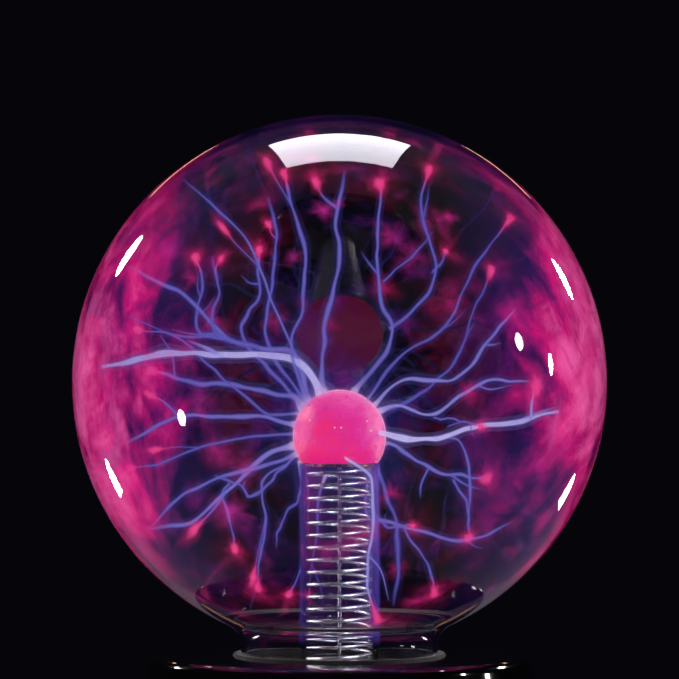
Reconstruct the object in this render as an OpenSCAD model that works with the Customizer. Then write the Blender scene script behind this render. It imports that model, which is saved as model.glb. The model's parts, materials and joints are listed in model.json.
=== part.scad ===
// Plasma ball: a gas-filled glass globe on a round desk base.
// Millimetres. Origin on the desk under the middle of the base, +Z up, controls on the +Y side.

/* [Globe] */
// Outer diameter of the glass globe
globe_d = 200; // [160:1:240]
// Wall thickness of the blown glass
glass_t = 1.8; // [1.6:0.1:3]
// Outer diameter of the globe's neck
neck_d = 74; // [62:1:90]
// Straight neck that shows between the globe's sweep and the base
neck_show = 4; // [2:0.5:10]
// Length of neck held inside the base
neck_depth = 16; // [12:1:20]
// Radius of the concave sweep from globe to neck
neck_sweep = 8; // [4:1:12]

/* [Electrode] */
// Outer diameter of the electrode ball
ball_d = 35; // [30:0.5:44]
// Depth of the ball's centre below the globe's centre
ball_drop = 20.4; // [10:0.2:34]
// Outer diameter of the glass stem tube
stem_d = 29; // [24:0.5:35]
// Wall thickness of the ball and the stem
stem_t = 1.5; // [1:0.1:2]
// Radius of the flare at the foot of the stem
flare_r = 9; // [6:0.5:11]
// Diameter of the coil's wire
coil_wire_d = 1.3; // [0.8:0.1:1.6]
// Rise of the coil per turn
coil_pitch = 4.7; // [3.5:0.1:7]
// Diameter of the middle conductor rod
rod_d = 1.5; // [1:0.1:2.4]
// Diameter of the sealed pump stub
tip_d = 6; // [5:0.5:7]

/* [Base] */
// Height of the base above the desk
base_h = 72; // [60:1:90]
// Radius of the base's top, measured to the sharp corner
top_r = 71; // [68:0.5:80]
// Lean of the base's side from upright
side_lean = 14; // [10:1:18]
// Rounding of the base's top edge
edge_r = 4; // [3.2:0.2:6]
// Wall thickness of the mouldings
wall = 2.6; // [2:0.1:3]
// Height of the joint between shell and tray
split_z = 22; // [20:1:26]
// Width of the ledge where the tray stands proud of the shell
ledge = 2; // [1:0.2:4]
// Height of the rubber feet below the tray
foot_h = 2.5; // [1.5:0.1:4]
// Diameter of each rubber foot
foot_d = 14; // [10:0.5:16]

/* [Control recess] */
// Width of the recess in the back of the base
recess_w = 76; // [74:1:80]
// Distance from the base's top to the recess
recess_drop = 10; // [8:1:14]
// Gap between the tray's tongue and the recess
recess_rise = 0.5; // [0.3:0.1:1.5]
// Place of the rocker switch across the recess
switch_x = 25; // [22:0.5:27]
// Place of the sensitivity knob across the recess
knob_x = 3; // [0:0.5:5]
// Place of the microphone holes across the recess
mic_x = -12; // [-14:0.5:-11]
// Place of the power socket across the recess
jack_x = -27; // [-29:0.5:-24]

/* [Controls] */
// Diameter of the sensitivity knob
knob_d = 18; // [15:0.5:20]
// Length of the sensitivity knob
knob_len = 12; // [9:0.5:14]
// Diameter of the potentiometer's shaft
shaft_d = 6; // [4:0.5:6.5]
// Width of the switch's bezel
bezel_w = 15; // [14:0.5:16]
// Height of the switch's bezel
bezel_h = 21; // [20:0.5:23]
// Inner diameter of the power socket
jack_bore_d = 5.7; // [5.5:0.1:6]
// Diameter of the power socket's centre pin
jack_pin_d = 2; // [1.6:0.1:2.5]

/* [Circuit board] */
// Length of the circuit board
board_l = 90; // [80:1:94]
// Width of the circuit board
board_w = 64; // [58:1:68]
// Height of the posts under the circuit board
post_h = 5; // [4:0.5:7]

/* [Hidden] */
$fn = 72;
EPS = 1;                 // how far a cut runs past a face
clear = 0.15;            // gap round a moulded fit
run_clear = 0.05;        // gap round a turning shaft
screw_r = 1.5;           // shank of the case screws
screw_clear = 0.2;       // gap round a shank in a plain hole
tap_clear = 0.04;        // gap round a shank in its pilot hole
head_r = 2.8;
head_h = 2;

// globe
globe_r = globe_d / 2;
neck_r = neck_d / 2;
neck_bore_r = neck_r - glass_t;
sweep_drop = sqrt(pow(globe_r + neck_sweep, 2) - pow(neck_r + neck_sweep, 2));
globe_z = base_h + neck_show + sweep_drop;
sweep_angle = atan2(-sweep_drop, neck_r + neck_sweep);
neck_end_z = base_h - neck_depth;

// electrode
ball_r = ball_d / 2;
stem_r = stem_d / 2;
stem_bore_r = stem_r - stem_t;
ball_z = globe_z - ball_drop;
ball_cut = sqrt(pow(ball_r, 2) - pow(stem_r, 2));
stem_top_z = ball_z - ball_cut;
flare_rise = 2.5;                          // top of the flare above the neck's end
flare_z = neck_end_z + flare_rise;
contact_t = 1.2;
contact_z = stem_top_z - contact_t;
slip = 0.1;                                // gap between the stem's bore and what slides in it
plug_r = stem_bore_r - slip;

// socket under the neck
bead_t = 1;                                // silicone between neck and socket
bead_h = 8;
pad_t = 2;                                 // soft ring under the neck
pad_w = 4;
socket_t = 2;
socket_floor_t = 2.4;
socket_bore_r = neck_r + bead_t;
socket_r = socket_bore_r + socket_t;
socket_floor_z = neck_end_z - pad_t;       // top of the socket's floor
socket_z = socket_floor_z - socket_floor_t;
lug_t = 3;
lug_r = socket_r + 6;                      // circle of the socket screws
lug_z = socket_floor_z + 1;
lug_bite = 7;                              // length of screw in the shell's lug bosses
lug_angles = [30, 150, 270];
boss_r = 3.5;
plug_h = 8;
plug_top_z = socket_floor_z + plug_h;
seat_t = 1;
seat_top_z = plug_top_z + seat_t;
tip_ring_r = (stem_r + flare_r + neck_r - pad_w) / 2;   // midway between the flare's curve and the pad
tip_angle = 60;
tip_len = 11;

// coil
coil_wire_r = coil_wire_d / 2;
coil_r = plug_r - 0.5 - coil_wire_r;       // radius to the wire's middle
coil_gap = 0.05;                           // gap at each end of the coil
coil_bottom_z = seat_top_z + coil_wire_r + coil_gap;
coil_top_z = contact_z - coil_wire_r - coil_gap;
coil_steps = 18;                           // rings in each turn
coil_sides = 6;

// base mouldings
floor_t = 2.4;
floor_z = foot_h + floor_t;                // top of the tray's floor
gasket_w = 1.5;
gasket_lip = 0.8;
neck_hole_r = neck_r + gasket_w;
lean_run = tan(side_lean);
wall_run = wall / cos(side_lean);          // the wall's thickness measured level
function side_r(z) = top_r + (base_h - z) * lean_run;
edge_c = [top_r - edge_r * (1 - sin(side_lean)) / cos(side_lean), base_h - edge_r];
ceiling_z = base_h - wall;
tongue_h = 3;
tongue_t = 1.6;
tray_round = 3;
tray_draft = 4;
tray_top_r = side_r(split_z) + ledge;
tray_side_run = tan(tray_draft);
tray_bottom_r = tray_top_r + (split_z - foot_h) * tray_side_run;
case_ring_r = top_r - 9;                   // circle of the case screws
case_angles = [45, 135, 225, 315];
sleeve_r = 5.5;
sleeve_h = 8;
sleeve_top_z = floor_z + sleeve_h;
case_head_z = floor_z + 3;                 // underside of the sleeve's shelf
case_bite = 10;                            // length of screw in the shell's boss
foot_ring_r = tray_bottom_r - foot_d / 2 - tray_round - 2;
foot_seat = 0.6;                           // depth of the recess for each foot
vent_count = 6;
vent_w = 2.2;
vent_l = 26;
vent_gap = 5;

// recess and its panel
recess_top_z = base_h - recess_drop;
recess_bottom_z = split_z + tongue_h + recess_rise + wall;
recess_h = recess_top_z - recess_bottom_z;
recess_corner = 4;
panel_z = (recess_top_z + recess_bottom_z) / 2;
panel_y = sqrt(pow(side_r(recess_top_z), 2) - pow(recess_w / 2, 2)) - 1.5;
panel_in_y = panel_y - wall;
recess_far = tray_bottom_r;

// rocker switch, with +z out of the panel
bezel_t = 2;
well_w = 9.6;                              // opening that the rocker works in
well_h = 16.8;
switch_depth = 13;                         // body behind the bezel
switch_floor = 1.6;
rocker_w = well_w - 0.6;
rocker_half = 7.2;
rocker_rise = 1.2;                         // height of the rocker's ends over its middle
pivot_drop = 1;                            // pivot below the panel's face
pivot_r = 1.2;
pivot_reach = 1;
blade_w = 4.8;
blade_t = 0.8;
blade_len = 7;
blade_step = 5.2;

// potentiometer and knob
shaft_r = shaft_d / 2;
bush_r = shaft_r + 1;
pot_r = 7.5;
pot_t = 9;
pot_wall = 1.2;
rotor_r = pot_r - pot_wall - 0.3;
rotor_t = 2;
pot_tab_l = 4;
pot_tab_t = 0.8;
pot_tab_step = 3.6;
pot_nut_t = 2;
pot_nut_r = bush_r + 2.4;
knob_lift = 1;                             // gap between panel and knob
knob_r = knob_d / 2;
knob_cup_r = pot_nut_r + 0.6;
knob_cup_h = 4;
knob_cap = 2;                              // thickness over the shaft's end
flute_count = 18;
flute_r = 0.9;
d_flat = 0.6;                              // depth of the flat on the shaft
shaft_tip = knob_lift + knob_len - knob_cap - clear;
flat_len = 6;

// power socket
jack_bore_r = jack_bore_d / 2;
jack_pin_r = jack_pin_d / 2;
jack_r = jack_bore_r + 2.6;
jack_flange_r = jack_r + 1.6;
jack_flange_t = 2;
jack_bore_len = 10;
jack_depth = 14;                           // barrel behind the panel's face
jack_pin_short = 1;                        // pin's tip below the flange's face
jack_root_r = jack_pin_r + 0.3;            // thicker root that the pin is moulded in by
jack_tail = 4;                             // pin's solder end behind the barrel
jack_nut_t = 2.5;
jack_nut_r = jack_r + 2.4;

// microphone
mic_r = 3;
mic_len = 5;
boot_t = 1;
mic_hole_r = 0.6;
mic_hole_ring = 1.6;

// circuit board and what stands on it
board_t = 1.6;
board_z = floor_z + post_h;
board_top = board_z + board_t;
board_inset = 4;                           // from the board's edges to its screws
board_screw_r = 1.25;
post_r = 3;
xfmr = [-21, -6];                          // middle of the transformer
core_w = 32;
core_d = 9;
core_h = 24;
core_leg = 5;
core_post_r = 4.4;
xfmr_foot = 2.5;
core_z = board_top + xfmr_foot;
bobbin_gap = 0.2;
bobbin_r = core_post_r + 1.2;
cheek_r = core_w / 2 - core_leg - 0.2;
cheek_t = 1.2;
winding_r = cheek_r - 0.9;
primary_wire_r = 0.35;
primary_turns_n = 6;
sink = [20, -24];                          // middle of the heat sink's plate
sink_w = 34;
sink_t = 3;
sink_h = 24;
fin_count = 6;
fin_t = 1.4;
fin_l = 6;
tab_t = 1.3;
tab_w = 10;
tab_l = 15.5;
tab_z = board_top + 6;
main_cap = [33, 6];
film_cap = [14, 0];
chip_at = [6, 21];
header_at = [[30, 26], [-6, 27], [-16, 27]];   // plugs for power, microphone and potentiometer
header_h = 7;
lead_bite = 0.3;                           // length of a lead's end inside what it is soldered to
hv_exit = 3.9;                             // high-voltage lead above the winding's middle
hv_wire_r = 1.5;
hook_wire_r = 0.7;
ferrule_r = 2.2;
ferrule_h = 8;
ferrule_bite = 3;                          // length of rod or lead inside the ferrule
ferrule_top_z = socket_floor_z - 1;
ferrule_z = ferrule_top_z - ferrule_h;

// Points along an arc about c, from angle a0 to a1.
function arc(c, r, a0, a1, n) = [for (i = [0:n]) let (a = a0 + (a1 - a0) * i / n) c + r * [cos(a), sin(a)]];

function unit(v) = v / norm(v);

// A smooth run through hand-set points: a Catmull-Rom curve with n steps between points.
function ghost(p, i) = i < 0 ? 2 * p[0] - p[1]
    : i >= len(p) ? 2 * p[len(p) - 1] - p[len(p) - 2] : p[i];
function smooth_run(p, n) = concat(
    [for (i = [0:len(p) - 2], k = [0:n - 1])
        let (t = k / n, a = ghost(p, i - 1), b = p[i], c = p[i + 1], d = ghost(p, i + 2))
        0.5 * (2 * b + (c - a) * t + (2 * a - 5 * b + 4 * c - d) * t * t
            + (3 * b - 3 * c + d - a) * t * t * t)],
    [p[len(p) - 1]]);

// Side faces and end caps that join rings of m points each into a closed tube.
function tube_faces(n, m) = concat(
    [for (i = [0:n - 2], j = [0:m - 1])
        let (a = i * m + j, b = i * m + (j + 1) % m)
        for (f = [[a, b, b + m], [a, b + m, a + m]]) f],
    [[for (j = [m - 1:-1:0]) j]],
    [[for (j = [0:m - 1]) (n - 1) * m + j]]);

// A round lead swept along a run of points; ref is never along the run.
module lead(run, r, ref = [1, 0.2, 0.1], m = 8) {
    n = len(run);
    rings = [for (i = [0:n - 1])
        let (t = unit(run[min(i + 1, n - 1)] - run[max(i - 1, 0)]),
            u = unit(cross(ref, t)), v = cross(t, u))
        for (j = [0:m - 1]) run[i] + r * (cos(360 * j / m) * u + sin(360 * j / m) * v)];
    polyhedron(points = rings, faces = tube_faces(n, m), convexity = 8);
}

// Puts children on the control panel, +z out of the panel.
module on_panel(x) {
    translate([x, panel_y, panel_z]) rotate([-90, 0, 0]) children();
}

module ring(r_out, r_in, h) {
    difference() {
        cylinder(r = r_out, h = h);
        translate([0, 0, -EPS]) cylinder(r = r_in, h = h + 2 * EPS);
    }
}

// A flat box with its corners cut off, standing on z = 0.
module chamfered_box(w, d, h, c) {
    x = w / 2;
    y = d / 2;
    linear_extrude(h) polygon([
        [x - c, -y], [x, -y + c], [x, y - c], [x - c, y],
        [-x + c, y], [-x, y - c], [-x, -y + c], [-x + c, -y]]);
}

// A pan-head screw with a cross slot: head below z = 0, shank above.
module screw(r, len, hr, hh) {
    difference() {
        union() {
            cylinder(r = r, h = len, $fn = 32);
            translate([0, 0, -hh]) cylinder(r1 = hr * 0.82, r2 = hr, h = hh * 0.4, $fn = 32);
            translate([0, 0, -hh * 0.6]) cylinder(r = hr, h = hh * 0.6, $fn = 32);
        }
        for (a = [0, 90]) rotate(a)
            translate([-hr * 0.6, -hr * 0.12, -hh - EPS]) cube([hr * 1.2, hr * 0.24, EPS + hh * 0.5]);
    }
}

// ---- globe and electrode ----

module glass_globe() {
    o = [0, globe_z];
    c = [neck_r + neck_sweep, globe_z - sweep_drop];
    color([0.85, 0.9, 1, 0.25]) rotate_extrude($fn = 120) polygon(concat(
        arc(o, globe_r, 90, sweep_angle, 60),
        arc(c, neck_sweep, sweep_angle + 180, 180, 8),
        [[neck_r, neck_end_z], [neck_bore_r, neck_end_z]],
        arc(c, neck_sweep + glass_t, 180, sweep_angle + 180, 8),
        arc(o, globe_r - glass_t, sweep_angle, 90, 60)));
}

module electrode_stem() {
    c = [stem_r + flare_r, flare_z + flare_r];
    color([0.8, 0.85, 1, 0.4]) rotate_extrude() polygon(concat(
        [[stem_bore_r, stem_top_z], [stem_r, stem_top_z]],
        arc(c, flare_r, 180, 270, 10),
        [[neck_bore_r, flare_z], [neck_bore_r, flare_z - stem_t]],
        arc(c, flare_r + stem_t, 270, 180, 10)));
}

module electrode_ball() {
    inner_r = ball_r - stem_t;
    cut_a = -asin(ball_cut / ball_r);
    inner_cut_a = -asin(ball_cut / inner_r);
    c = [0, ball_z];
    color("deeppink") rotate_extrude() polygon(concat(
        arc(c, ball_r, 90, cut_a, 24),
        arc(c, inner_r, inner_cut_a, 90, 24)));
}

module exhaust_tip() {
    r = tip_d / 2;
    color([0.8, 0.85, 1, 0.4]) rotate(tip_angle) translate([tip_ring_r, 0, flare_z - stem_t])
        rotate_extrude() polygon([
            [0, 0], [r, 0], [r, -tip_len * 0.45], [r * 0.8, -tip_len * 0.62], [r * 0.42, -tip_len * 0.8],
            [r * 0.34, -tip_len * 0.92], [r * 0.2, -tip_len * 0.98], [0, -tip_len]]);
}

module stem_coil() {
    turns = (coil_top_z - coil_bottom_z) / coil_pitch;
    n = floor(turns * coil_steps);
    m = coil_sides;
    rings = [for (i = [0:n])
        let (a = 360 * i / coil_steps, z = coil_bottom_z + (coil_top_z - coil_bottom_z) * i / n)
        for (j = [0:m - 1]) let (b = 360 * j / m, q = coil_r + coil_wire_r * cos(b))
        [q * cos(a), q * sin(a), z + coil_wire_r * sin(b)]];
    color("silver") polyhedron(points = rings, faces = tube_faces(n + 1, m), convexity = 20);
}

module center_rod() {
    z = ferrule_top_z - ferrule_bite;
    color("lightsteelblue") translate([0, 0, z]) cylinder(d = rod_d, h = contact_z - z, $fn = 32);
}

module top_contact() {
    color("goldenrod") translate([0, 0, contact_z]) cylinder(r = plug_r, h = contact_t);
}

module spring_seat() {
    color("goldenrod") translate([0, 0, plug_top_z]) ring(plug_r, rod_d / 2 + run_clear, seat_t);
}

module stem_plug() {
    color("ivory") translate([0, 0, socket_floor_z]) ring(plug_r, rod_d / 2 + run_clear, plug_h);
}

module rod_ferrule() {
    rod_r = rod_d / 2;
    color("goldenrod") translate([0, 0, ferrule_z]) rotate_extrude() polygon([
        [hv_wire_r, 0], [ferrule_r, 0], [ferrule_r, ferrule_h], [rod_r, ferrule_h],
        [rod_r, ferrule_h - ferrule_bite], [0, ferrule_h - ferrule_bite],
        [0, ferrule_bite], [hv_wire_r, ferrule_bite]]);
}

// ---- neck fixing ----

module neck_pad() {
    color("dimgray") translate([0, 0, socket_floor_z]) ring(neck_r, neck_r - pad_w, pad_t);
}

module silicone_bead() {
    color("white") translate([0, 0, neck_end_z]) ring(socket_bore_r, neck_r, bead_h);
}

module neck_gasket() {
    color("black") translate([0, 0, ceiling_z]) rotate_extrude() polygon([
        [neck_r, 0], [neck_hole_r, 0], [neck_hole_r, wall], [neck_hole_r + gasket_w, wall],
        [neck_hole_r + gasket_w * 0.6, wall + gasket_lip], [neck_r, wall + gasket_lip]]);
}

module at_lugs() {
    for (a = lug_angles) rotate(a) translate([lug_r, 0, 0]) children();
}

module globe_socket() {
    rim_z = ceiling_z - clear;
    hub_r = 6;
    color("whitesmoke") difference() {
        union() {
            translate([0, 0, socket_z]) cylinder(r = socket_r, h = rim_z - socket_z);
            for (a = lug_angles) rotate(a) translate([0, -boss_r, lug_z]) cube([lug_r, 2 * boss_r, lug_t]);
            at_lugs() translate([0, 0, lug_z]) cylinder(r = boss_r + 0.5, h = lug_t);
        }
        translate([0, 0, socket_floor_z]) cylinder(r = socket_bore_r, h = rim_z);
        translate([0, 0, socket_z - EPS]) cylinder(r = hub_r, h = socket_floor_t + 2 * EPS);
        rotate(tip_angle) translate([tip_ring_r, 0, socket_z - EPS])
            cylinder(r = tip_d / 2 + 0.8, h = socket_floor_t + 2 * EPS);
        at_lugs() translate([0, 0, lug_z - EPS]) cylinder(r = screw_r + screw_clear, h = lug_t + 2 * EPS);
    }
}

module socket_screws() {
    color("silver") at_lugs() translate([0, 0, lug_z]) screw(screw_r, lug_t + lug_bite, head_r, head_h);
}

// ---- base ----

module at_case() {
    for (a = case_angles) rotate(a) translate([case_ring_r, 0, 0]) children();
}

// Solid of the shell's outside, before it is hollowed.
module shell_form() {
    rotate_extrude($fn = 120) polygon(concat(
        [[0, split_z], [0, base_h]],
        arc(edge_c, edge_r, 90, side_lean, 8),
        [[side_r(split_z), split_z]]));
}

module shell_hollow() {
    rotate_extrude($fn = 120) polygon(concat(
        [[0, split_z - EPS], [0, ceiling_z]],
        arc(edge_c, edge_r - wall, 90, side_lean, 8),
        [[side_r(split_z - EPS) - wall_run, split_z - EPS]]));
}

module recess_block(w, h, y0, y1) {
    translate([0, y0, panel_z]) rotate([-90, 0, 0]) chamfered_box(w, h, y1 - y0, recess_corner);
}

module base_shell() {
    color([0.02, 0.02, 0.025]) difference() {
        union() {
            difference() {
                shell_form();
                shell_hollow();
            }
            intersection() {
                shell_form();
                recess_block(recess_w + 2 * wall, recess_h + 2 * wall, panel_in_y, recess_far);
            }
            at_case() translate([0, 0, sleeve_top_z])
                cylinder(r = boss_r, h = ceiling_z - sleeve_top_z + EPS);
            at_lugs() translate([0, 0, lug_z + lug_t])
                cylinder(r = boss_r, h = ceiling_z - lug_z - lug_t + EPS);
        }
        recess_block(recess_w, recess_h, panel_y, recess_far + EPS);
        translate([0, 0, ceiling_z - EPS]) cylinder(r = neck_hole_r, h = wall + 2 * EPS);
        at_case() translate([0, 0, sleeve_top_z - EPS])
            cylinder(r = screw_r + tap_clear, h = case_bite + 2 * EPS);
        at_lugs() translate([0, 0, lug_z + lug_t - EPS])
            cylinder(r = screw_r + tap_clear, h = lug_bite + 1.5 * EPS);
        on_panel(switch_x) translate([-bezel_w / 2 + 1 - clear, -bezel_h / 2 + 1 - clear, -wall - EPS])
            cube([bezel_w - 2 + 2 * clear, bezel_h - 2 + 2 * clear, wall + 2 * EPS]);
        on_panel(knob_x) translate([0, 0, -wall - EPS]) cylinder(r = bush_r + clear, h = wall + 2 * EPS);
        on_panel(jack_x) translate([0, 0, -wall - EPS]) cylinder(r = jack_r + clear, h = wall + 2 * EPS);
        on_panel(mic_x) for (a = [0:120:240]) rotate(a) translate([mic_hole_ring, 0, -wall - EPS])
            cylinder(r = mic_hole_r, h = wall + 2 * EPS, $fn = 24);
    }
}

module base_tray() {
    inner = side_r(split_z) - wall_run - clear;          // outside of the tongue at the joint
    tongue_in = inner - tongue_t;
    lean_up = tongue_h * lean_run;
    round_c = [tray_bottom_r - tray_round, foot_h + tray_round];
    color([0.03, 0.03, 0.035]) difference() {
        union() {
            rotate_extrude($fn = 120) polygon(concat(
                [[0, floor_z], [0, foot_h]],
                arc(round_c, tray_round, 270, 360, 6),
                [[tray_top_r, split_z - 1.2], [tray_top_r - 1.2, split_z], [inner, split_z],
                 [inner - lean_up, split_z + tongue_h], [tongue_in - lean_up, split_z + tongue_h],
                 [tongue_in - lean_up, floor_z]]));
            at_case() translate([0, 0, foot_h + 0.5])
                cylinder(r = sleeve_r, h = sleeve_top_z - foot_h - 0.5);
            board_posts();
        }
        at_case() {
            translate([0, 0, foot_h - EPS]) cylinder(r = head_r + 0.8, h = case_head_z - foot_h + EPS);
            translate([0, 0, case_head_z - EPS])
                cylinder(r = screw_r + screw_clear, h = sleeve_top_z - case_head_z + 2 * EPS);
        }
        at_board_screws() translate([0, 0, floor_z])
            cylinder(r = board_screw_r + tap_clear, h = post_h + EPS, $fn = 32);
        at_feet() translate([0, 0, foot_h - EPS]) cylinder(d = foot_d + 2 * clear, h = foot_seat + EPS);
        for (i = [0:vent_count - 1], side = [-1, 1])
            translate([(i - (vent_count - 1) / 2) * vent_gap - vent_w / 2,
                side * 22 - vent_l / 2, foot_h - EPS]) cube([vent_w, vent_l, floor_t + 2 * EPS]);
    }
}

module base_screws() {
    color("silver") at_case() translate([0, 0, case_head_z])
        screw(screw_r, sleeve_top_z - case_head_z + case_bite, head_r, head_h);
}

module at_feet() {
    for (i = [1:4]) at_foot(i) children();
}

module at_foot(i) {
    rotate(case_angles[i - 1]) translate([foot_ring_r, 0, 0]) children();
}

module foot(i) {
    r = foot_d / 2;
    color([0.1, 0.1, 0.1]) at_foot(i) rotate_extrude() polygon([
        [0, 0], [r - 1, 0], [r - 0.3, 0.5], [r, 1.2], [r, foot_h + foot_seat], [0, foot_h + foot_seat]]);
}

// ---- circuit board ----

module at_board_screws() {
    for (x = [-1, 1], y = [-1, 1])
        translate([x * (board_l / 2 - board_inset), y * (board_w / 2 - board_inset), 0]) children();
}

module board_posts() {
    at_board_screws() translate([0, 0, floor_z - 0.5]) cylinder(r = post_r, h = post_h + 0.5);
}

module circuit_board() {
    color("darkgreen") translate([0, 0, board_z]) difference() {
        translate([-board_l / 2, -board_w / 2, 0]) cube([board_l, board_w, board_t]);
        at_board_screws() translate([0, 0, -EPS])
            cylinder(r = board_screw_r + screw_clear, h = board_t + 2 * EPS, $fn = 32);
    }
}

module board_screws() {
    bite = post_h - 1;
    color("silver") at_board_screws() translate([0, 0, board_top]) mirror([0, 0, 1])
        screw(board_screw_r, board_t + bite, 2.3, 1.6);
}

// One half of the transformer's core: yoke, two legs and a round middle post, open upwards.
module core_half() {
    half = core_h / 2;
    translate([-core_w / 2, -core_d / 2, 0]) cube([core_w, core_d, core_leg]);
    for (s = [-1, 1]) translate([s * (core_w - core_leg) / 2 - core_leg / 2, -core_d / 2, 0])
        cube([core_leg, core_d, half]);
    cylinder(r = core_post_r, h = half);
}

module ferrite_core_lower() {
    color("dimgray") translate([xfmr.x, xfmr.y, core_z]) core_half();
}

module ferrite_core_upper() {
    color("dimgray") translate([xfmr.x, xfmr.y, core_z + core_h]) mirror([0, 0, 1]) core_half();
}

module transformer_bobbin() {
    z0 = core_z + core_leg + bobbin_gap;
    h = core_h - 2 * core_leg - 2 * bobbin_gap;
    post_d = 2.5;
    color([0.12, 0.12, 0.14]) translate([xfmr.x, xfmr.y, 0]) difference() {
        union() {
            translate([0, 0, z0]) cylinder(r = bobbin_r, h = h);
            for (z = [z0, z0 + h - cheek_t]) translate([0, 0, z]) cylinder(r = cheek_r, h = cheek_t);
            for (s = [-1, 1])
                translate([-6, s * (core_d / 2 + bobbin_gap + post_d / 2) - post_d / 2, board_top])
                    cube([12, post_d, z0 + cheek_t - board_top]);
            translate([-core_w / 2, -core_d / 2 - 3, board_top]) cube([core_w, core_d + 6, xfmr_foot]);
        }
        translate([0, 0, z0 - EPS]) cylinder(r = core_post_r + bobbin_gap, h = h + 2 * EPS);
    }
}

module secondary_winding() {
    z0 = core_z + core_leg + bobbin_gap + cheek_t;
    h = core_h - 2 * (core_leg + bobbin_gap + cheek_t);
    color("khaki") translate([xfmr.x, xfmr.y, z0]) ring(winding_r, bobbin_r, h);
}

module primary_turns() {
    step = 2.2 * primary_wire_r;
    mid = core_z + core_h / 2;
    color("chocolate") for (i = [0:primary_turns_n - 1])
        translate([xfmr.x, xfmr.y, mid + (i - (primary_turns_n - 1) / 2) * step])
            rotate_extrude() translate([winding_r + primary_wire_r + 0.02, 0])
                circle(r = primary_wire_r, $fn = 16);
}

module heat_sink() {
    pitch = (sink_w - fin_t) / (fin_count - 1);
    color("silver") difference() {
        translate([sink.x, sink.y, board_top]) {
            translate([-sink_w / 2, -sink_t / 2, 0]) cube([sink_w, sink_t, sink_h]);
            for (i = [0:fin_count - 1])
                translate([-sink_w / 2 + i * pitch, -sink_t / 2 - fin_l, 0])
                    cube([fin_t, fin_l + 0.5, sink_h]);
        }
        tab_hole() cylinder(r = 1.5 + tap_clear, h = sink_t + EPS, $fn = 32);
    }
}

// The transistor's screw hole, +z into the heat sink from its flat face.
module tab_hole() {
    translate([sink.x, sink.y + sink_t / 2, tab_z + tab_l - 2.8]) rotate([90, 0, 0]) children();
}

module transistor_tab() {
    y = sink.y + sink_t / 2;
    color("silver") difference() {
        union() {
            translate([sink.x - tab_w / 2, y, tab_z]) cube([tab_w, tab_t, tab_l]);
            for (i = [-1:1]) translate([sink.x + i * 2.54 - 0.4, y + 2.2, board_top])
                cube([0.8, 0.5, tab_z - board_top]);
        }
        tab_hole() translate([0, 0, -tab_t - EPS]) cylinder(r = 1.7, h = tab_t + 2 * EPS, $fn = 32);
    }
}

module transistor_body() {
    y = sink.y + sink_t / 2 + tab_t;
    color([0.08, 0.08, 0.08]) translate([sink.x - tab_w / 2, y, tab_z]) cube([tab_w, 3.2, 9.2]);
}

module transistor_screw() {
    color("gainsboro") tab_hole() translate([0, 0, -tab_t]) screw(1.5, tab_t + sink_t - 0.3, 2.6, 1.8);
}

module can_capacitor(r, h) {
    rotate_extrude() polygon([
        [0, 0], [r - 0.4, 0], [r, 0.4], [r, 1.6], [r - 0.3, 2], [r, 2.4], [r, h - 0.5], [r - 0.5, h],
        [r - 1, h - 0.25], [0, h - 0.25]]);
}

module main_capacitor() {
    color("navy") translate([main_cap.x, main_cap.y, board_top]) can_capacitor(6.5, 20);
}

module small_capacitors() {
    color("navy") for (p = [[-36, 22], [-25, 22], [24, 16]])
        translate([p.x, p.y, board_top]) can_capacitor(4, 11);
}

module film_capacitor() {
    color("firebrick") translate([film_cap.x, film_cap.y, board_top]) chamfered_box(6, 13, 11, 0.8);
}

module timer_chip() {
    color([0.1, 0.1, 0.1]) translate([chip_at.x, chip_at.y, board_top]) {
        translate([-4.8, -3.2, 0.8]) cube([9.6, 6.4, 3.2]);
        for (i = [0:3], s = [-1, 1])
            translate([(i - 1.5) * 2.54 - 0.25, s * 3.6 - 0.4, 0]) cube([0.5, 0.8, 2.6]);
    }
}

module resistors() {
    wire = 0.3;
    color("tan") for (i = [0:4]) translate([-8 + i * 4, 11, board_top]) {
        translate([0, -3, 1.3]) rotate([-90, 0, 0]) cylinder(r = 1.15, h = 6, $fn = 32);
        translate([0, -5, 1.3]) rotate([-90, 0, 0]) cylinder(r = wire, h = 10, $fn = 16);
        for (y = [-5, 5]) translate([-wire, y - wire, 0]) cube([2 * wire, 2 * wire, 1.6]);
    }
}

module wire_headers() {
    color("white") for (p = header_at) translate([p.x - 4, p.y - 3, board_top]) cube([8, 6, header_h]);
}

// ---- controls ----

module well_cut(h0, h1) {
    translate([-well_w / 2, -well_h / 2, h0]) cube([well_w, well_h, h1 - h0]);
}

module pivots(r, reach) {
    half = rocker_w / 2 + reach;
    translate([-half, 0, -pivot_drop]) rotate([0, 90, 0]) cylinder(r = r, h = 2 * half, $fn = 32);
}

module blades() {
    for (i = [-1:1]) translate([-blade_w / 2, i * blade_step - blade_t / 2, -switch_depth - blade_len])
        cube([blade_w, blade_t, blade_len + switch_floor]);
}

module switch_housing() {
    body_w = bezel_w - 2;
    body_h = bezel_h - 2;
    color([0.05, 0.05, 0.05]) on_panel(switch_x) difference() {
        union() {
            chamfered_box(bezel_w, bezel_h, bezel_t, 1);
            translate([-body_w / 2, -body_h / 2, -switch_depth]) cube([body_w, body_h, switch_depth + 0.5]);
        }
        well_cut(-switch_depth + switch_floor, bezel_t + EPS);
        pivots(pivot_r + run_clear, pivot_reach + 0.2);
        blades();
    }
}

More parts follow.
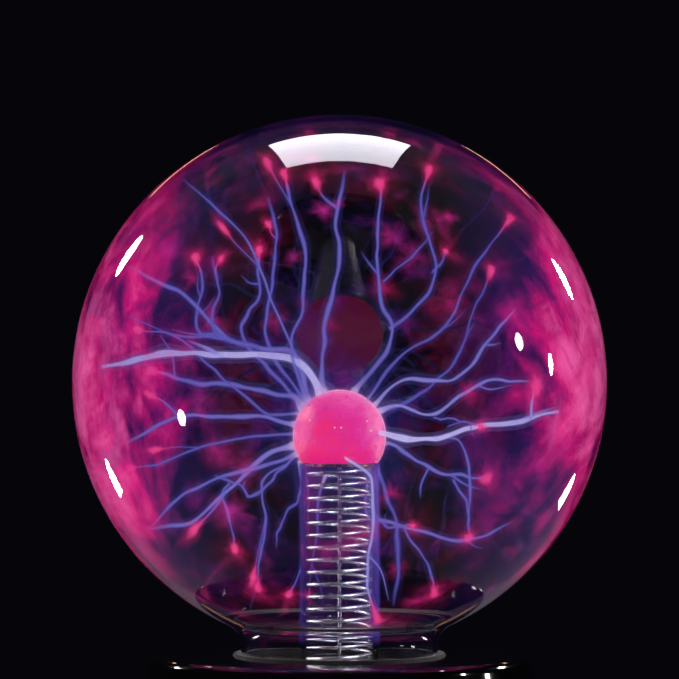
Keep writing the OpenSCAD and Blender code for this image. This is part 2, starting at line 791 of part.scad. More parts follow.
module switch_rocker() {
    z0 = -pivot_drop;
    color([0.6, 0.03, 0.03]) on_panel(switch_x) {
        translate([-rocker_w / 2, 0, 0]) rotate([90, 0, 90]) linear_extrude(rocker_w) polygon([
            [-rocker_half, z0 + 3.2 + rocker_rise], [-rocker_half + 0.2, z0 - 0.6], [-2.6, z0 - 4.6],
            [2.6, z0 - 4.6], [rocker_half - 0.2, z0 - 0.6], [rocker_half, z0 + 3.2 + rocker_rise],
            [0, z0 + 3.2]]);
        pivots(pivot_r, pivot_reach);
    }
}

module switch_blades() {
    color("goldenrod") on_panel(switch_x) blades();
}

module jack_body() {
    back = -jack_depth;
    color([0.04, 0.04, 0.04]) on_panel(jack_x) rotate_extrude() polygon([
        [jack_root_r, back], [jack_r, back], [jack_r, 0], [jack_flange_r, 0],
        [jack_flange_r, jack_flange_t - 0.5], [jack_flange_r - 0.5, jack_flange_t],
        [jack_bore_r + 0.4, jack_flange_t], [jack_bore_r, jack_flange_t - 0.4],
        [jack_bore_r, jack_flange_t - jack_bore_len], [jack_root_r, jack_flange_t - jack_bore_len]]);
}

module jack_pin() {
    tip = jack_flange_t - jack_pin_short;
    back = -jack_depth - jack_tail;
    bore_floor = jack_flange_t - jack_bore_len;
    color("silver") on_panel(jack_x) rotate_extrude($fn = 48) polygon([
        [0, back], [jack_root_r, back], [jack_root_r, bore_floor], [jack_pin_r, bore_floor],
        [jack_pin_r, tip - 0.4], [jack_pin_r - 0.4, tip], [0, tip]]);
}

module jack_nut() {
    color("silver") on_panel(jack_x) translate([0, 0, -wall - jack_nut_t]) difference() {
        cylinder(r = jack_nut_r, h = jack_nut_t, $fn = 6);
        translate([0, 0, -EPS]) cylinder(r = jack_r + run_clear, h = jack_nut_t + 2 * EPS);
    }
}

module pot_body() {
    front = -wall;
    bush_top = pot_nut_t + 0.5;
    bore = shaft_r + run_clear;
    cell = pot_r - pot_wall;
    color("darkgray") on_panel(knob_x) {
        rotate_extrude() polygon([
            [0, front - pot_t], [pot_r, front - pot_t], [pot_r, front], [bush_r, front],
            [bush_r, bush_top], [bore, bush_top], [bore, front - pot_wall], [cell, front - pot_wall],
            [cell, front - pot_t + pot_wall], [0, front - pot_t + pot_wall]]);
        for (i = [-1:1]) let (x = i * pot_tab_step, y = sqrt(pow(pot_r, 2) - pow(abs(x) + 0.6, 2)) - 0.5)
            translate([x - 0.6, y, front - pot_t * 0.6]) cube([1.2, pot_r + pot_tab_l - y, pot_tab_t]);
    }
}

module pot_nut() {
    color("silver") on_panel(knob_x) difference() {
        cylinder(r = pot_nut_r, h = pot_nut_t, $fn = 6);
        translate([0, 0, -EPS]) cylinder(r = bush_r + run_clear, h = pot_nut_t + 2 * EPS);
    }
}

// The flat on the shaft's end; grow widens it to cut the knob's bore.
module shaft_end(grow, top) {
    difference() {
        cylinder(r = shaft_r + grow, h = top);
        translate([-shaft_r - EPS, shaft_r - d_flat + grow, top - flat_len])
            cube([2 * shaft_r + 2 * EPS, d_flat + EPS, flat_len + EPS]);
    }
}

module pot_shaft() {
    rotor_z = -wall - pot_t / 2 - rotor_t / 2;
    color("gainsboro") on_panel(knob_x) {
        translate([0, 0, rotor_z]) cylinder(r = rotor_r, h = rotor_t);
        translate([0, 0, rotor_z]) cylinder(r = shaft_r, h = -rotor_z + 0.5);
        shaft_end(0, shaft_tip);
    }
}

module sensitivity_knob() {
    color([0.06, 0.06, 0.06]) on_panel(knob_x) difference() {
        translate([0, 0, knob_lift]) rotate_extrude() polygon([
            [0, 0], [knob_r, 0], [knob_r, 2], [knob_r - 0.8, 2.6], [knob_r - 0.8, knob_len - 1.2],
            [knob_r - 2, knob_len], [0, knob_len]]);
        translate([0, 0, knob_lift - EPS]) cylinder(r = knob_cup_r, h = knob_cup_h + EPS);
        shaft_end(0.02, shaft_tip + clear);
        for (i = [0:flute_count - 1]) rotate((i + 0.5) * 360 / flute_count)
            translate([knob_r - 0.6, 0, knob_lift + 3.4]) cylinder(r = flute_r, h = knob_len, $fn = 24);
        translate([-0.5, -knob_r - EPS, knob_lift + knob_len - 0.6]) cube([1, knob_r + EPS - 1.5, 1 + EPS]);
    }
}

module microphone() {
    color("silver") on_panel(mic_x) translate([0, 0, -wall - mic_len]) cylinder(r = mic_r, h = mic_len);
}

module mic_boot() {
    color([0.08, 0.08, 0.08]) on_panel(mic_x) translate([0, 0, -wall - mic_len + 1])
        ring(mic_r + boot_t, mic_r, mic_len - 1);
}

// ---- leads ----

// The lead leaves the winding above the primary turns and rises to the ferrule under the stem.
module hv_lead() {
    z0 = core_z + core_h / 2 + hv_exit;
    z1 = ferrule_z - 4;
    y0 = xfmr.y + winding_r - lead_bite;
    run = smooth_run([
        [xfmr.x, y0, z0], [xfmr.x, y0 + 4, z0], [xfmr.x + 4, y0 + 8, z0 + (z1 - z0) * 0.25],
        [-9, 11, z0 + (z1 - z0) * 0.5], [-2.5, 5, z0 + (z1 - z0) * 0.75], [0, 0.8, z1],
        [0, 0, ferrule_z], [0, 0, ferrule_z + ferrule_bite]], 5);
    color("red") lead(run, hv_wire_r);
}

module power_leads() {
    y_jack = panel_y - jack_depth - jack_tail;
    y_blade = panel_y - switch_depth - blade_len;
    h = header_at[0];
    top = board_top + header_h - lead_bite;
    color("crimson") {
        lead(smooth_run([
            [jack_x, y_jack + lead_bite, panel_z], [jack_x, y_jack - 2, panel_z - 1],
            [-22, 43, panel_z - 12], [-4, 45, 17], [14, 42, 15], [h.x - 4, 36, 19],
            [h.x - 2, h.y + 3, top + 6], [h.x - 2, h.y, top + 3], [h.x - 2, h.y, top]], 5),
            hook_wire_r, [0.1, 0.2, 1]);
        lead(smooth_run([
            [switch_x, y_blade + lead_bite, panel_z], [switch_x + 1, y_blade - 2.5, panel_z - 2],
            [switch_x + 5, 36, panel_z - 8], [h.x + 2, 31, top + 8], [h.x + 2, h.y, top + 4],
            [h.x + 2, h.y, top]], 5), hook_wire_r, [1, 0.2, 0.1]);
    }
}

module pot_leads() {
    h = header_at[2];
    top = board_top + header_h - lead_bite;
    pot_y = panel_y - wall - pot_t * 0.6 + pot_tab_t / 2;
    tab_low = panel_z - pot_r - pot_tab_l + lead_bite;
    color("gold") for (i = [-1:1]) lead(smooth_run([
        [knob_x + i * pot_tab_step, pot_y, tab_low], [knob_x + i * pot_tab_step, pot_y, tab_low - 3],
        [knob_x - 9 + i * 3, 41 + i, 24 + i * 2.4], [h.x + i * 2.2, 33, top + 6 + i * 2.2],
        [h.x + i * 2.2, h.y, top + 3], [h.x + i * 2.2, h.y, top]], 5), hook_wire_r, [1, 0.2, 0.1]);
}

module mic_leads() {
    h = header_at[1];
    top = board_top + header_h - lead_bite;
    back_y = panel_in_y - mic_len + lead_bite;
    color("white") for (i = [-1, 1]) lead(smooth_run([
        [mic_x + i * 1.2, back_y, panel_z], [mic_x + i * 1.2, back_y - 3, panel_z - 1],
        [mic_x + 3 + i * 1.5, 40, panel_z - 8], [h.x + i * 1.8, 32, top + 9],
        [h.x + i * 1.8, h.y, top + 4], [h.x + i * 1.8, h.y, top]], 5), hook_wire_r, [1, 0.2, 0.1]);
}

glass_globe();
electrode_stem();
electrode_ball();
exhaust_tip();
stem_coil();
center_rod();
top_contact();
spring_seat();
stem_plug();
rod_ferrule();
neck_pad();
silicone_bead();
neck_gasket();
globe_socket();
socket_screws();
base_shell();
base_tray();
base_screws();
foot(1);  // foot_1
foot(2);  // foot_2
foot(3);  // foot_3
foot(4);  // foot_4
circuit_board();
board_screws();
ferrite_core_lower();
ferrite_core_upper();
transformer_bobbin();
secondary_winding();
primary_turns();
heat_sink();
transistor_tab();
transistor_body();
transistor_screw();
main_capacitor();
small_capacitors();
film_capacitor();
timer_chip();
resistors();
wire_headers();
switch_housing();
switch_rocker();
switch_blades();
jack_body();
jack_pin();
jack_nut();
pot_body();
pot_nut();
pot_shaft();
sensitivity_knob();
microphone();
mic_boot();
hv_lead();
power_leads();
pot_leads();
mic_leads();
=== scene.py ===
"""Plasma ball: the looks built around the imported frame. Metres, +Z up, front towards -Y."""

import json
import math
import random

import bpy
import numpy as np
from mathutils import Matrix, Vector, noise


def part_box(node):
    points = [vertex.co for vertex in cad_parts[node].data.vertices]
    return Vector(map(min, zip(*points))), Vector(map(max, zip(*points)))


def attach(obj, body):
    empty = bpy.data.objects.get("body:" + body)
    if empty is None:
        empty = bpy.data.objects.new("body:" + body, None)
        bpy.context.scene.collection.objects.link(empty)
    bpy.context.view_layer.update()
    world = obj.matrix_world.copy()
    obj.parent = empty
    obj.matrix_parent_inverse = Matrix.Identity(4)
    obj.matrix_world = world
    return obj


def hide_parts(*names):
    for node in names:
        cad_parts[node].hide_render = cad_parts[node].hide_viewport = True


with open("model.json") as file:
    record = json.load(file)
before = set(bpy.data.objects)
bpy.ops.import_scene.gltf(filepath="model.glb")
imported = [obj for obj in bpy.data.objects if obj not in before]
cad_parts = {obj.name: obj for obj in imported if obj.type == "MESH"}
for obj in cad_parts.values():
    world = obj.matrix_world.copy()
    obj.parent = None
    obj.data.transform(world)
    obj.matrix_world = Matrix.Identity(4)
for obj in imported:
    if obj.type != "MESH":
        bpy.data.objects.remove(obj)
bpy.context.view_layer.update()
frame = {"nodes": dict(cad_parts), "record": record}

MM = 0.001
ROOT = "root"

# ---------------------------------------------------------------- sizes taken from the frame

globe_low, globe_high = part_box("glass_globe")
GLOBE_R = (globe_high[0] - globe_low[0]) / 2
GLOBE_Z = globe_high[2] - GLOBE_R
NECK_END_Z = globe_low[2]
NECK_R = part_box("neck_pad")[1][0]
GLASS_T = 1.8 * MM
NECK_SWEEP = 8 * MM
INNER_R = GLOBE_R - GLASS_T
ball_low, ball_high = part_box("electrode_ball")
BALL_R = (ball_high[0] - ball_low[0]) / 2
BALL_Z = ball_high[2] - BALL_R
STEM_T = 1.5 * MM
STEM_R = math.sqrt(BALL_R ** 2 - (BALL_Z - ball_low[2]) ** 2)
FLARE_R = 9 * MM
stem_low, stem_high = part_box("electrode_stem")
coil_low, coil_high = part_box("stem_coil")
COIL_WIRE_R = 0.65 * MM
COIL_PITCH = 4.7 * MM
BASE_TOP_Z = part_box("base_shell")[1][2]
CENTRE = Vector((0, 0, GLOBE_Z))

# ---------------------------------------------------------------- mesh helpers


def arc(centre, radius, start, end, steps):
    """Points (r, z) along an arc, angles in degrees."""
    turns = [math.radians(start + (end - start) * i / steps) for i in range(steps + 1)]
    return [(centre[0] + radius * math.cos(a), centre[1] + radius * math.sin(a)) for a in turns]


def piece(name, verts, faces, glow=None):
    """A smooth-shaded mesh object that rides on the root body. glow is one (r, g, b, a) for each point."""
    mesh = bpy.data.meshes.new(name)
    mesh.from_pydata([tuple(v) for v in verts], [], faces)
    mesh.validate()
    mesh.polygons.foreach_set("use_smooth", [True] * len(mesh.polygons))
    mesh.set_sharp_from_angle(angle=math.radians(35))
    if glow is not None:
        layer = mesh.color_attributes.new("glow", "FLOAT_COLOR", "POINT")
        layer.data.foreach_set("color", np.asarray(glow, dtype=np.float32).ravel())
    obj = bpy.data.objects.new(name, mesh)
    bpy.context.scene.collection.objects.link(obj)
    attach(obj, ROOT)
    return obj


def lathe(name, outline, segments, closed=True):
    """Turns an outline of (r, z) about Z. A point on the axis becomes one vertex."""
    verts, rings, faces = [], [], []
    for r, z in outline:
        if r < 1e-7:
            rings.append([len(verts)] * segments)
            verts.append((0, 0, z))
            continue
        rings.append(list(range(len(verts), len(verts) + segments)))
        for k in range(segments):
            a = 2 * math.pi * k / segments
            verts.append((r * math.cos(a), r * math.sin(a), z))
    pairs = list(zip(rings, rings[1:] + rings[:1])) if closed else list(zip(rings, rings[1:]))
    for low, high in pairs:
        for k in range(segments):
            n = (k + 1) % segments
            face = []
            for v in (low[k], high[k], high[n], low[n]):
                if v not in face:
                    face.append(v)
            if len(face) > 2:
                faces.append(face)
    return piece(name, verts, faces)


def frames_along(points):
    """Tangent and two normals at each point, turned as little as possible from one to the next."""
    tangents = []
    for i in range(len(points)):
        ahead, behind = points[min(i + 1, len(points) - 1)], points[max(i - 1, 0)]
        tangents.append((ahead - behind).normalized())
    side = tangents[0].orthogonal().normalized()
    result = []
    for t in tangents:
        side = (side - t * side.dot(t)).normalized()
        result.append((side, t.cross(side)))
    return result


def add_tube(store, points, radii, glows, sides):
    """Adds a round tube with closed ends to store, a dict of verts, faces and glow."""
    base = len(store["verts"])
    for (u, v), p, r, g in zip(frames_along(points), points, radii, glows):
        for k in range(sides):
            a = 2 * math.pi * k / sides
            store["verts"].append(p + r * (math.cos(a) * u + math.sin(a) * v))
            store["glow"].append(g)
    for i in range(len(points) - 1):
        for k in range(sides):
            a, b = base + i * sides + k, base + i * sides + (k + 1) % sides
            store["faces"].append((a, b, b + sides, a + sides))
    store["faces"].append(tuple(base + k for k in reversed(range(sides))))
    last = base + (len(points) - 1) * sides
    store["faces"].append(tuple(last + k for k in range(sides)))


def new_store():
    return {"verts": [], "faces": [], "glow": []}


# ---------------------------------------------------------------- material helpers


def blank(name):
    """A new material with its nodes, its links and its output node."""
    mat = bpy.data.materials.new(name)
    mat.use_nodes = True
    tree = mat.node_tree
    tree.nodes.clear()
    return mat, tree.nodes, tree.links, tree.nodes.new("ShaderNodeOutputMaterial")


def pattern(nodes, links, scale, detail=4.0, rough=0.55, stretch=(1, 1, 1), distortion=0.0):
    """A noise pattern in the object's own space. scale counts features per metre."""
    coord = nodes.new("ShaderNodeTexCoord")
    mapping = nodes.new("ShaderNodeMapping")
    mapping.inputs["Scale"].default_value = stretch
    tex = nodes.new("ShaderNodeTexNoise")
    tex.inputs["Scale"].default_value = scale
    tex.inputs["Detail"].default_value = detail
    tex.inputs["Roughness"].default_value = rough
    tex.inputs["Distortion"].default_value = distortion
    links.new(coord.outputs["Object"], mapping.inputs["Vector"])
    links.new(mapping.outputs["Vector"], tex.inputs["Vector"])
    return tex.outputs["Fac"]


def remap(nodes, links, source, low, high, to_low, to_high):
    """A clamped change of range."""
    node = nodes.new("ShaderNodeMapRange")
    node.inputs["From Min"].default_value = low
    node.inputs["From Max"].default_value = high
    node.inputs["To Min"].default_value = to_low
    node.inputs["To Max"].default_value = to_high
    links.new(source, node.inputs["Value"])
    return node.outputs["Result"]


def tint(nodes, links, fac, dark, light):
    """A colour that runs from dark to light with fac."""
    ramp = nodes.new("ShaderNodeValToRGB")
    ramp.color_ramp.elements[0].color = (*dark, 1)
    ramp.color_ramp.elements[1].color = (*light, 1)
    links.new(fac, ramp.inputs["Fac"])
    return ramp.outputs["Color"]


def solid_material(name, color, metallic=0.0, rough=0.4, vary=0.12, grain=900.0, bump=0.1,
                   spread=0.12, coat=0.0, stretch=(1, 1, 1), blotch=60.0):
    """A moulded, rolled or cast surface: colour drift, uneven gloss and a fine relief."""
    mat, nodes, links, out = blank(name)
    shader = nodes.new("ShaderNodeBsdfPrincipled")
    drift = pattern(nodes, links, blotch, 3.0, 0.5)
    dark = [c * (1 - vary) for c in color]
    light = [min(1.0, c * (1 + vary) + 0.004) for c in color]
    links.new(tint(nodes, links, remap(nodes, links, drift, 0.3, 0.7, 0, 1), dark, light),
              shader.inputs["Base Color"])
    fine = pattern(nodes, links, grain, 5.0, 0.6, stretch)
    links.new(remap(nodes, links, fine, 0.25, 0.75, max(0.02, rough - spread), rough + spread),
              shader.inputs["Roughness"])
    relief = nodes.new("ShaderNodeBump")
    relief.inputs["Strength"].default_value = bump
    relief.inputs["Distance"].default_value = 0.05 * MM
    links.new(fine, relief.inputs["Height"])
    links.new(relief.outputs["Normal"], shader.inputs["Normal"])
    shader.inputs["Metallic"].default_value = metallic
    shader.inputs["Coat Weight"].default_value = coat
    shader.inputs["Coat Roughness"].default_value = 0.03
    links.new(shader.outputs["BSDF"], out.inputs["Surface"])
    return mat


def glass_material(name, color=(1, 1, 1), wave=0.02):
    """Clear blown glass with a slight waviness. Shadow rays pass straight through it."""
    mat, nodes, links, out = blank(name)
    shader = nodes.new("ShaderNodeBsdfPrincipled")
    shader.inputs["Base Color"].default_value = (*color, 1)
    shader.inputs["Roughness"].default_value = 0.0
    shader.inputs["IOR"].default_value = 1.47
    shader.inputs["Transmission Weight"].default_value = 1.0
    relief = nodes.new("ShaderNodeBump")
    relief.inputs["Strength"].default_value = wave
    relief.inputs["Distance"].default_value = 1 * MM
    links.new(pattern(nodes, links, 14.0, 2.0, 0.4), relief.inputs["Height"])
    links.new(relief.outputs["Normal"], shader.inputs["Normal"])
    clear = nodes.new("ShaderNodeBsdfTransparent")
    path = nodes.new("ShaderNodeLightPath")
    mix = nodes.new("ShaderNodeMixShader")
    links.new(path.outputs["Is Shadow Ray"], mix.inputs["Fac"])
    links.new(shader.outputs["BSDF"], mix.inputs[1])
    links.new(clear.outputs["BSDF"], mix.inputs[2])
    links.new(mix.outputs["Shader"], out.inputs["Surface"])
    return mat


def glow_material(name, strength, flicker=0.0, flicker_scale=150.0):
    """Light without a surface: the mesh's glow attribute gives colour, and its alpha how dense it is."""
    mat, nodes, links, out = blank(name)
    attribute = nodes.new("ShaderNodeAttribute")
    attribute.attribute_name = "glow"
    light = nodes.new("ShaderNodeEmission")
    light.inputs["Strength"].default_value = strength
    links.new(attribute.outputs["Color"], light.inputs["Color"])
    clear = nodes.new("ShaderNodeBsdfTransparent")
    mix = nodes.new("ShaderNodeMixShader")
    dense = nodes.new("ShaderNodeMath")
    dense.operation = "MULTIPLY"
    links.new(attribute.outputs["Alpha"], dense.inputs[0])
    uneven = pattern(nodes, links, flicker_scale, 5.0, 0.65)
    links.new(remap(nodes, links, uneven, 0.35, 0.65, 1 - flicker, 1), dense.inputs[1])
    links.new(dense.outputs["Value"], mix.inputs["Fac"])
    links.new(clear.outputs["BSDF"], mix.inputs[1])
    links.new(light.outputs["Emission"], mix.inputs[2])
    links.new(mix.outputs["Shader"], out.inputs["Surface"])
    mat.cycles.emission_sampling = "NONE"
    return mat


# ---------------------------------------------------------------- glass and electrode


def sweep_geometry():
    """Centre and start angle of the concave sweep from globe to neck."""
    drop = math.sqrt((GLOBE_R + NECK_SWEEP) ** 2 - (NECK_R + NECK_SWEEP) ** 2)
    return (NECK_R + NECK_SWEEP, GLOBE_Z - drop), math.degrees(math.atan2(-drop, NECK_R + NECK_SWEEP))


def make_globe():
    centre, angle = sweep_geometry()
    outline = arc((0, GLOBE_Z), GLOBE_R, 90, angle, 84)
    outline[0] = (0, outline[0][1])
    outline += arc(centre, NECK_SWEEP, angle + 180, 180, 10)
    outline += [(NECK_R, (NECK_END_Z + BASE_TOP_Z) / 2), (NECK_R - 0.2 * MM, NECK_END_Z)]
    outline += [(NECK_R - GLASS_T + 0.2 * MM, NECK_END_Z)]
    outline += arc(centre, NECK_SWEEP + GLASS_T, 180, angle + 180, 10)
    inner = arc((0, GLOBE_Z), INNER_R, angle, 90, 84)
    inner[-1] = (0, inner[-1][1])
    globe = lathe("blown_globe", outline + inner, 160, closed=False)
    globe.data.materials.append(glass_material("globe_glass"))
    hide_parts("glass_globe")


def make_stem():
    top, floor = stem_high[2], stem_low[2] + STEM_T
    centre = (STEM_R + FLARE_R, floor + FLARE_R)
    rim = NECK_R - GLASS_T
    outline = [(STEM_R - STEM_T, top), (STEM_R - 0.3 * MM, top), (STEM_R, top - 0.3 * MM)]
    outline += arc(centre, FLARE_R, 180, 270, 12) + [(rim, floor), (rim, floor - STEM_T)]
    outline += arc(centre, FLARE_R + STEM_T, 270, 180, 12)
    stem = lathe("stem_tube", outline, 96)
    stem.data.materials.append(glass_material("stem_glass", (0.93, 0.94, 1.0)))
    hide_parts("electrode_stem")


def ball_material():
    """Coated glass lit from within: rose red low on the left, paler pink towards the top and right."""
    mat, nodes, links, out = blank("electrode_coating")
    shader = nodes.new("ShaderNodeBsdfPrincipled")
    coord = nodes.new("ShaderNodeTexCoord")
    split = nodes.new("ShaderNodeSeparateXYZ")
    links.new(coord.outputs["Object"], split.inputs["Vector"])
    high = remap(nodes, links, split.outputs["Z"], BALL_Z - BALL_R, BALL_Z + BALL_R, -0.1, 0.35)
    right = remap(nodes, links, split.outputs["X"], -BALL_R, BALL_R, 0.0, 0.35)
    cloud = remap(nodes, links, pattern(nodes, links, 75.0, 5.0, 0.7), 0.3, 0.7, -0.2, 0.4)
    speck = remap(nodes, links, pattern(nodes, links, 1500.0, 2.0, 0.8), 0.35, 0.65, -0.22, 0.22)
    cloud = combine(nodes, links, "ADD", cloud, speck)
    total = nodes.new("ShaderNodeMath")
    total.operation = "ADD"
    links.new(high, total.inputs[0])
    links.new(right, total.inputs[1])
    mixed = nodes.new("ShaderNodeMath")
    mixed.operation = "ADD"
    links.new(total.outputs["Value"], mixed.inputs[0])
    links.new(cloud, mixed.inputs[1])
    ramp = nodes.new("ShaderNodeValToRGB")
    ramp.color_ramp.elements[0].color = (0.92, 0.004, 0.085, 1)
    ramp.color_ramp.elements[1].color = (0.82, 0.06, 0.36, 1)
    middle = ramp.color_ramp.elements.new(0.5)
    middle.color = (0.74, 0.006, 0.24, 1)
    links.new(mixed.outputs["Value"], ramp.inputs["Fac"])
    links.new(ramp.outputs["Color"], shader.inputs["Emission Color"])
    shader.inputs["Emission Strength"].default_value = 1.1
    shader.inputs["Base Color"].default_value = (0.02, 0.0, 0.006, 1)
    links.new(remap(nodes, links, pattern(nodes, links, 900.0, 3.0, 0.7), 0.3, 0.7, 0.22, 0.42),
              shader.inputs["Roughness"])
    shader.inputs["Specular IOR Level"].default_value = 0.1
    shader.inputs["Coat Weight"].default_value = 1.0
    shader.inputs["Coat Roughness"].default_value = 0.12
    shader.inputs["Coat IOR"].default_value = 1.36
    shader.inputs["Sheen Weight"].default_value = 1.0
    shader.inputs["Sheen Roughness"].default_value = 0.16
    shader.inputs["Sheen Tint"].default_value = (1.0, 0.80, 0.94, 1)
    relief = nodes.new("ShaderNodeBump")
    relief.inputs["Strength"].default_value = 0.15
    relief.inputs["Distance"].default_value = 0.2 * MM
    links.new(pattern(nodes, links, 420.0, 3.0, 0.6), relief.inputs["Height"])
    links.new(relief.outputs["Normal"], shader.inputs["Normal"])
    links.new(shader.outputs["BSDF"], out.inputs["Surface"])
    return mat


def make_ball():
    cut = BALL_Z - ball_low[2]
    inner = BALL_R - STEM_T
    outer_line = arc((0, BALL_Z), BALL_R, 90, -math.degrees(math.asin(cut / BALL_R)), 40)
    inner_line = arc((0, BALL_Z), inner, -math.degrees(math.asin(cut / inner)), 90, 30)
    outer_line[0] = (0, outer_line[0][1])
    inner_line[-1] = (0, inner_line[-1][1])
    ball = lathe("coated_ball", outer_line + inner_line, 96, closed=False)
    ball.data.materials.append(ball_material())
    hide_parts("electrode_ball")


def make_coil():
    """The spring inside the stem."""
    radius = (coil_high[0] - coil_low[0]) / 2 - COIL_WIRE_R
    low, high = coil_low[2] + COIL_WIRE_R, coil_high[2] - COIL_WIRE_R
    turns = round((high - low) / COIL_PITCH)
    steps = turns * 44
    points = []
    for i in range(steps + 1):
        t = i / steps
        a = 2 * math.pi * turns * t
        points.append(Vector((radius * math.cos(a), radius * math.sin(a), low + (high - low) * t)))
    store = new_store()
    add_tube(store, points, [COIL_WIRE_R] * len(points), [(0, 0, 0, 1)] * len(points), 12)
    coil = piece("spring_coil", store["verts"], store["faces"])
    coil.data.materials.append(solid_material(
        "spring_steel_wire", (0.50, 0.51, 0.58), 1.0, 0.2, 0.06, 700.0, 0.05, 0.07))
    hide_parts("stem_coil")


# ---------------------------------------------------------------- the discharge

VIOLET = (0.075, 0.065, 0.50)
LAVENDER = (0.40, 0.34, 0.82)
WHITE_HOT = (0.80, 0.74, 1.0)
ROSE = (0.95, 0.02, 0.22)

# Each streamer: where it runs, seen from the front, as (x, z) in mm from the globe's centre; which
# side of the ball it leaves (-1 front, 1 back); its width in mm; its brightness; its tip (0 fades
# out, 1 ends in a rose flare, 2 spreads on the glass).
STREAMERS = [
    ([(-7, -2), (-7, 12), (-5, 28), (0, 45), (-1, 61), (2, 82)], 1, 2.0, 0.45, 0),
    ([(6, -2), (15, 9), (19, 20), (15, 31), (15, 52), (16, 78)], 1, 1.9, 0.42, 1),
    ([(19, 20), (28, 28), (36, 42), (31, 66), (35, 83)], 1, 1.5, 0.35, 1),
    ([(36, 42), (40, 46), (42, 51)], 1, 1.0, 0.30, 1),
    ([(16, 37), (25, 44), (33, 54)], -1, 1.0, 0.25, 0),
    ([(-13, -5), (-18, 15), (-13, 31), (-13, 47), (-18, 66), (-20, 76)], -1, 1.7, 0.40, 1),
    ([(-14, -6), (-28, 19), (-25, 39), (-24, 59), (-28, 72)], 1, 1.6, 0.32, 0),
    ([(-15, -7), (-36, 15), (-36, 25), (-32, 33), (-32, 52)], 1, 1.8, 0.34, 1),
    ([(-13, -4), (-22, 23), (-29, 39), (-38, 57), (-58, 75)], -1, 1.1, 0.45, 0),
    ([(-30, 13), (-45, 19), (-45, 33), (-45, 45)], -1, 1.6, 0.28, 0),
    ([(-41, 15), (-54, 19), (-53, 39), (-57, 49)], 1, 1.6, 0.32, 1),
    ([(-14, -5), (-18, 10), (-30, 13), (-41, 17), (-53, 28), (-75, 42)], -1, 2.2, 0.48, 0),
    ([(-7, -4), (-13, 5), (-25, 10), (-45, 11), (-65, 10), (-85, 6)], -1, 3.2, 0.95, 2),
    ([(-14, -9), (-17, -5), (-25, -4), (-52, -1), (-75, 4)], 1, 2.0, 0.42, 1),
    ([(-17, -16), (-38, -13), (-58, -13), (-76, -21)], -1, 1.8, 0.50, 0),
    ([(-17, -24), (-30, -28), (-38, -36), (-52, -49), (-60, -55), (-73, -57)], 1, 2.1, 0.58, 0),
    ([(-16, -27), (-38, -33), (-54, -39), (-68, -52)], -1, 1.6, 0.46, 0),
    ([(-16, -27), (-28, -39), (-33, -42), (-36, -36), (-44, -32)], -1, 1.3, 0.36, 0),
    ([(-42, -39), (-45, -43), (-43, -54), (-41, -67)], 1, 1.3, 0.30, 1),
    ([(-20, -31), (-27, -36), (-28, -52), (-29, -74)], -1, 1.4, 0.38, 1),
    ([(-15, -30), (-16, -40), (-22, -55), (-25, -66)], 1, 1.2, 0.30, 0),
    ([(14, -8), (23, -1), (39, 0), (52, 9), (61, 20), (69, 28)], 1, 1.6, 0.62, 0),
    ([(15, -11), (23, -9), (35, -13), (46, -4), (55, 0), (67, 1)], -1, 1.5, 0.66, 0),
    ([(35, -13), (42, -14), (50, -15)], -1, 1.0, 0.40, 1),
    ([(15, -19), (23, -21), (35, -21), (55, -15), (78, -10)], -1, 2.4, 1.0, 2),
    ([(16, -23), (21, -24), (39, -35), (49, -37), (59, -39)], 1, 1.6, 0.50, 1),
    ([(42, -36), (45, -44), (46, -55)], -1, 1.2, 0.34, 1),
    ([(36, -21), (45, -23), (49, -35), (51, -58)], 1, 1.4, 0.42, 0),
    ([(13, -30), (12, -48), (22, -54), (35, -59), (49, -61), (67, -55)], 1, 1.5, 0.48, 0),
    ([(12, -48), (17, -52), (26, -50)], -1, 1.0, 0.32, 1),
    ([(2, -28), (8, -33), (11, -39), (12, -55), (10, -72), (14, -86)], -1, 1.4, 0.80, 1),
    ([(13, -30), (18, -42), (22, -56), (21, -87)], 1, 2.4, 0.22, 0),
    ([(24, -54), (30, -63), (34, -76)], -1, 1.1, 0.30, 1),
    ([(10, -7), (22, 8), (40, 22), (50, 44), (62, 60)], -1, 1.2, 0.30, 1),
    ([(-6, -38), (-9, -52), (-14, -70), (-20, -84)], 1, 1.1, 0.26, 1),
    ([(14, -12), (30, -6), (48, 14), (60, 44)], 1, 1.2, 0.26, 1),
    ([(-15, -12), (-34, -8), (-60, 16), (-80, 20)], 1, 1.3, 0.30, 1),
    ([(-16, -20), (-40, -22), (-66, -30), (-82, -34)], 1, 1.3, 0.30, 1),
]
WALL_GAP = 1.2 * MM
STEP = 1.2 * MM
TIP_LENGTH = 9 * MM


def smooth(points, step):
    """A Catmull-Rom run through points, resampled about every step."""
    ghosts = [2 * points[0] - points[1]] + points + [2 * points[-1] - points[-2]]
    run = []
    for i in range(len(points) - 1):
        a, b, c, d = ghosts[i:i + 4]
        count = max(2, int((c - b).length / step))
        for k in range(count):
            t = k / count
            run.append(0.5 * (2 * b + (c - a) * t + (2 * a - 5 * b + 4 * c - d) * t * t
                              + (3 * b - 3 * c + d - a) * t ** 3))
    run.append(points[-1])
    return run


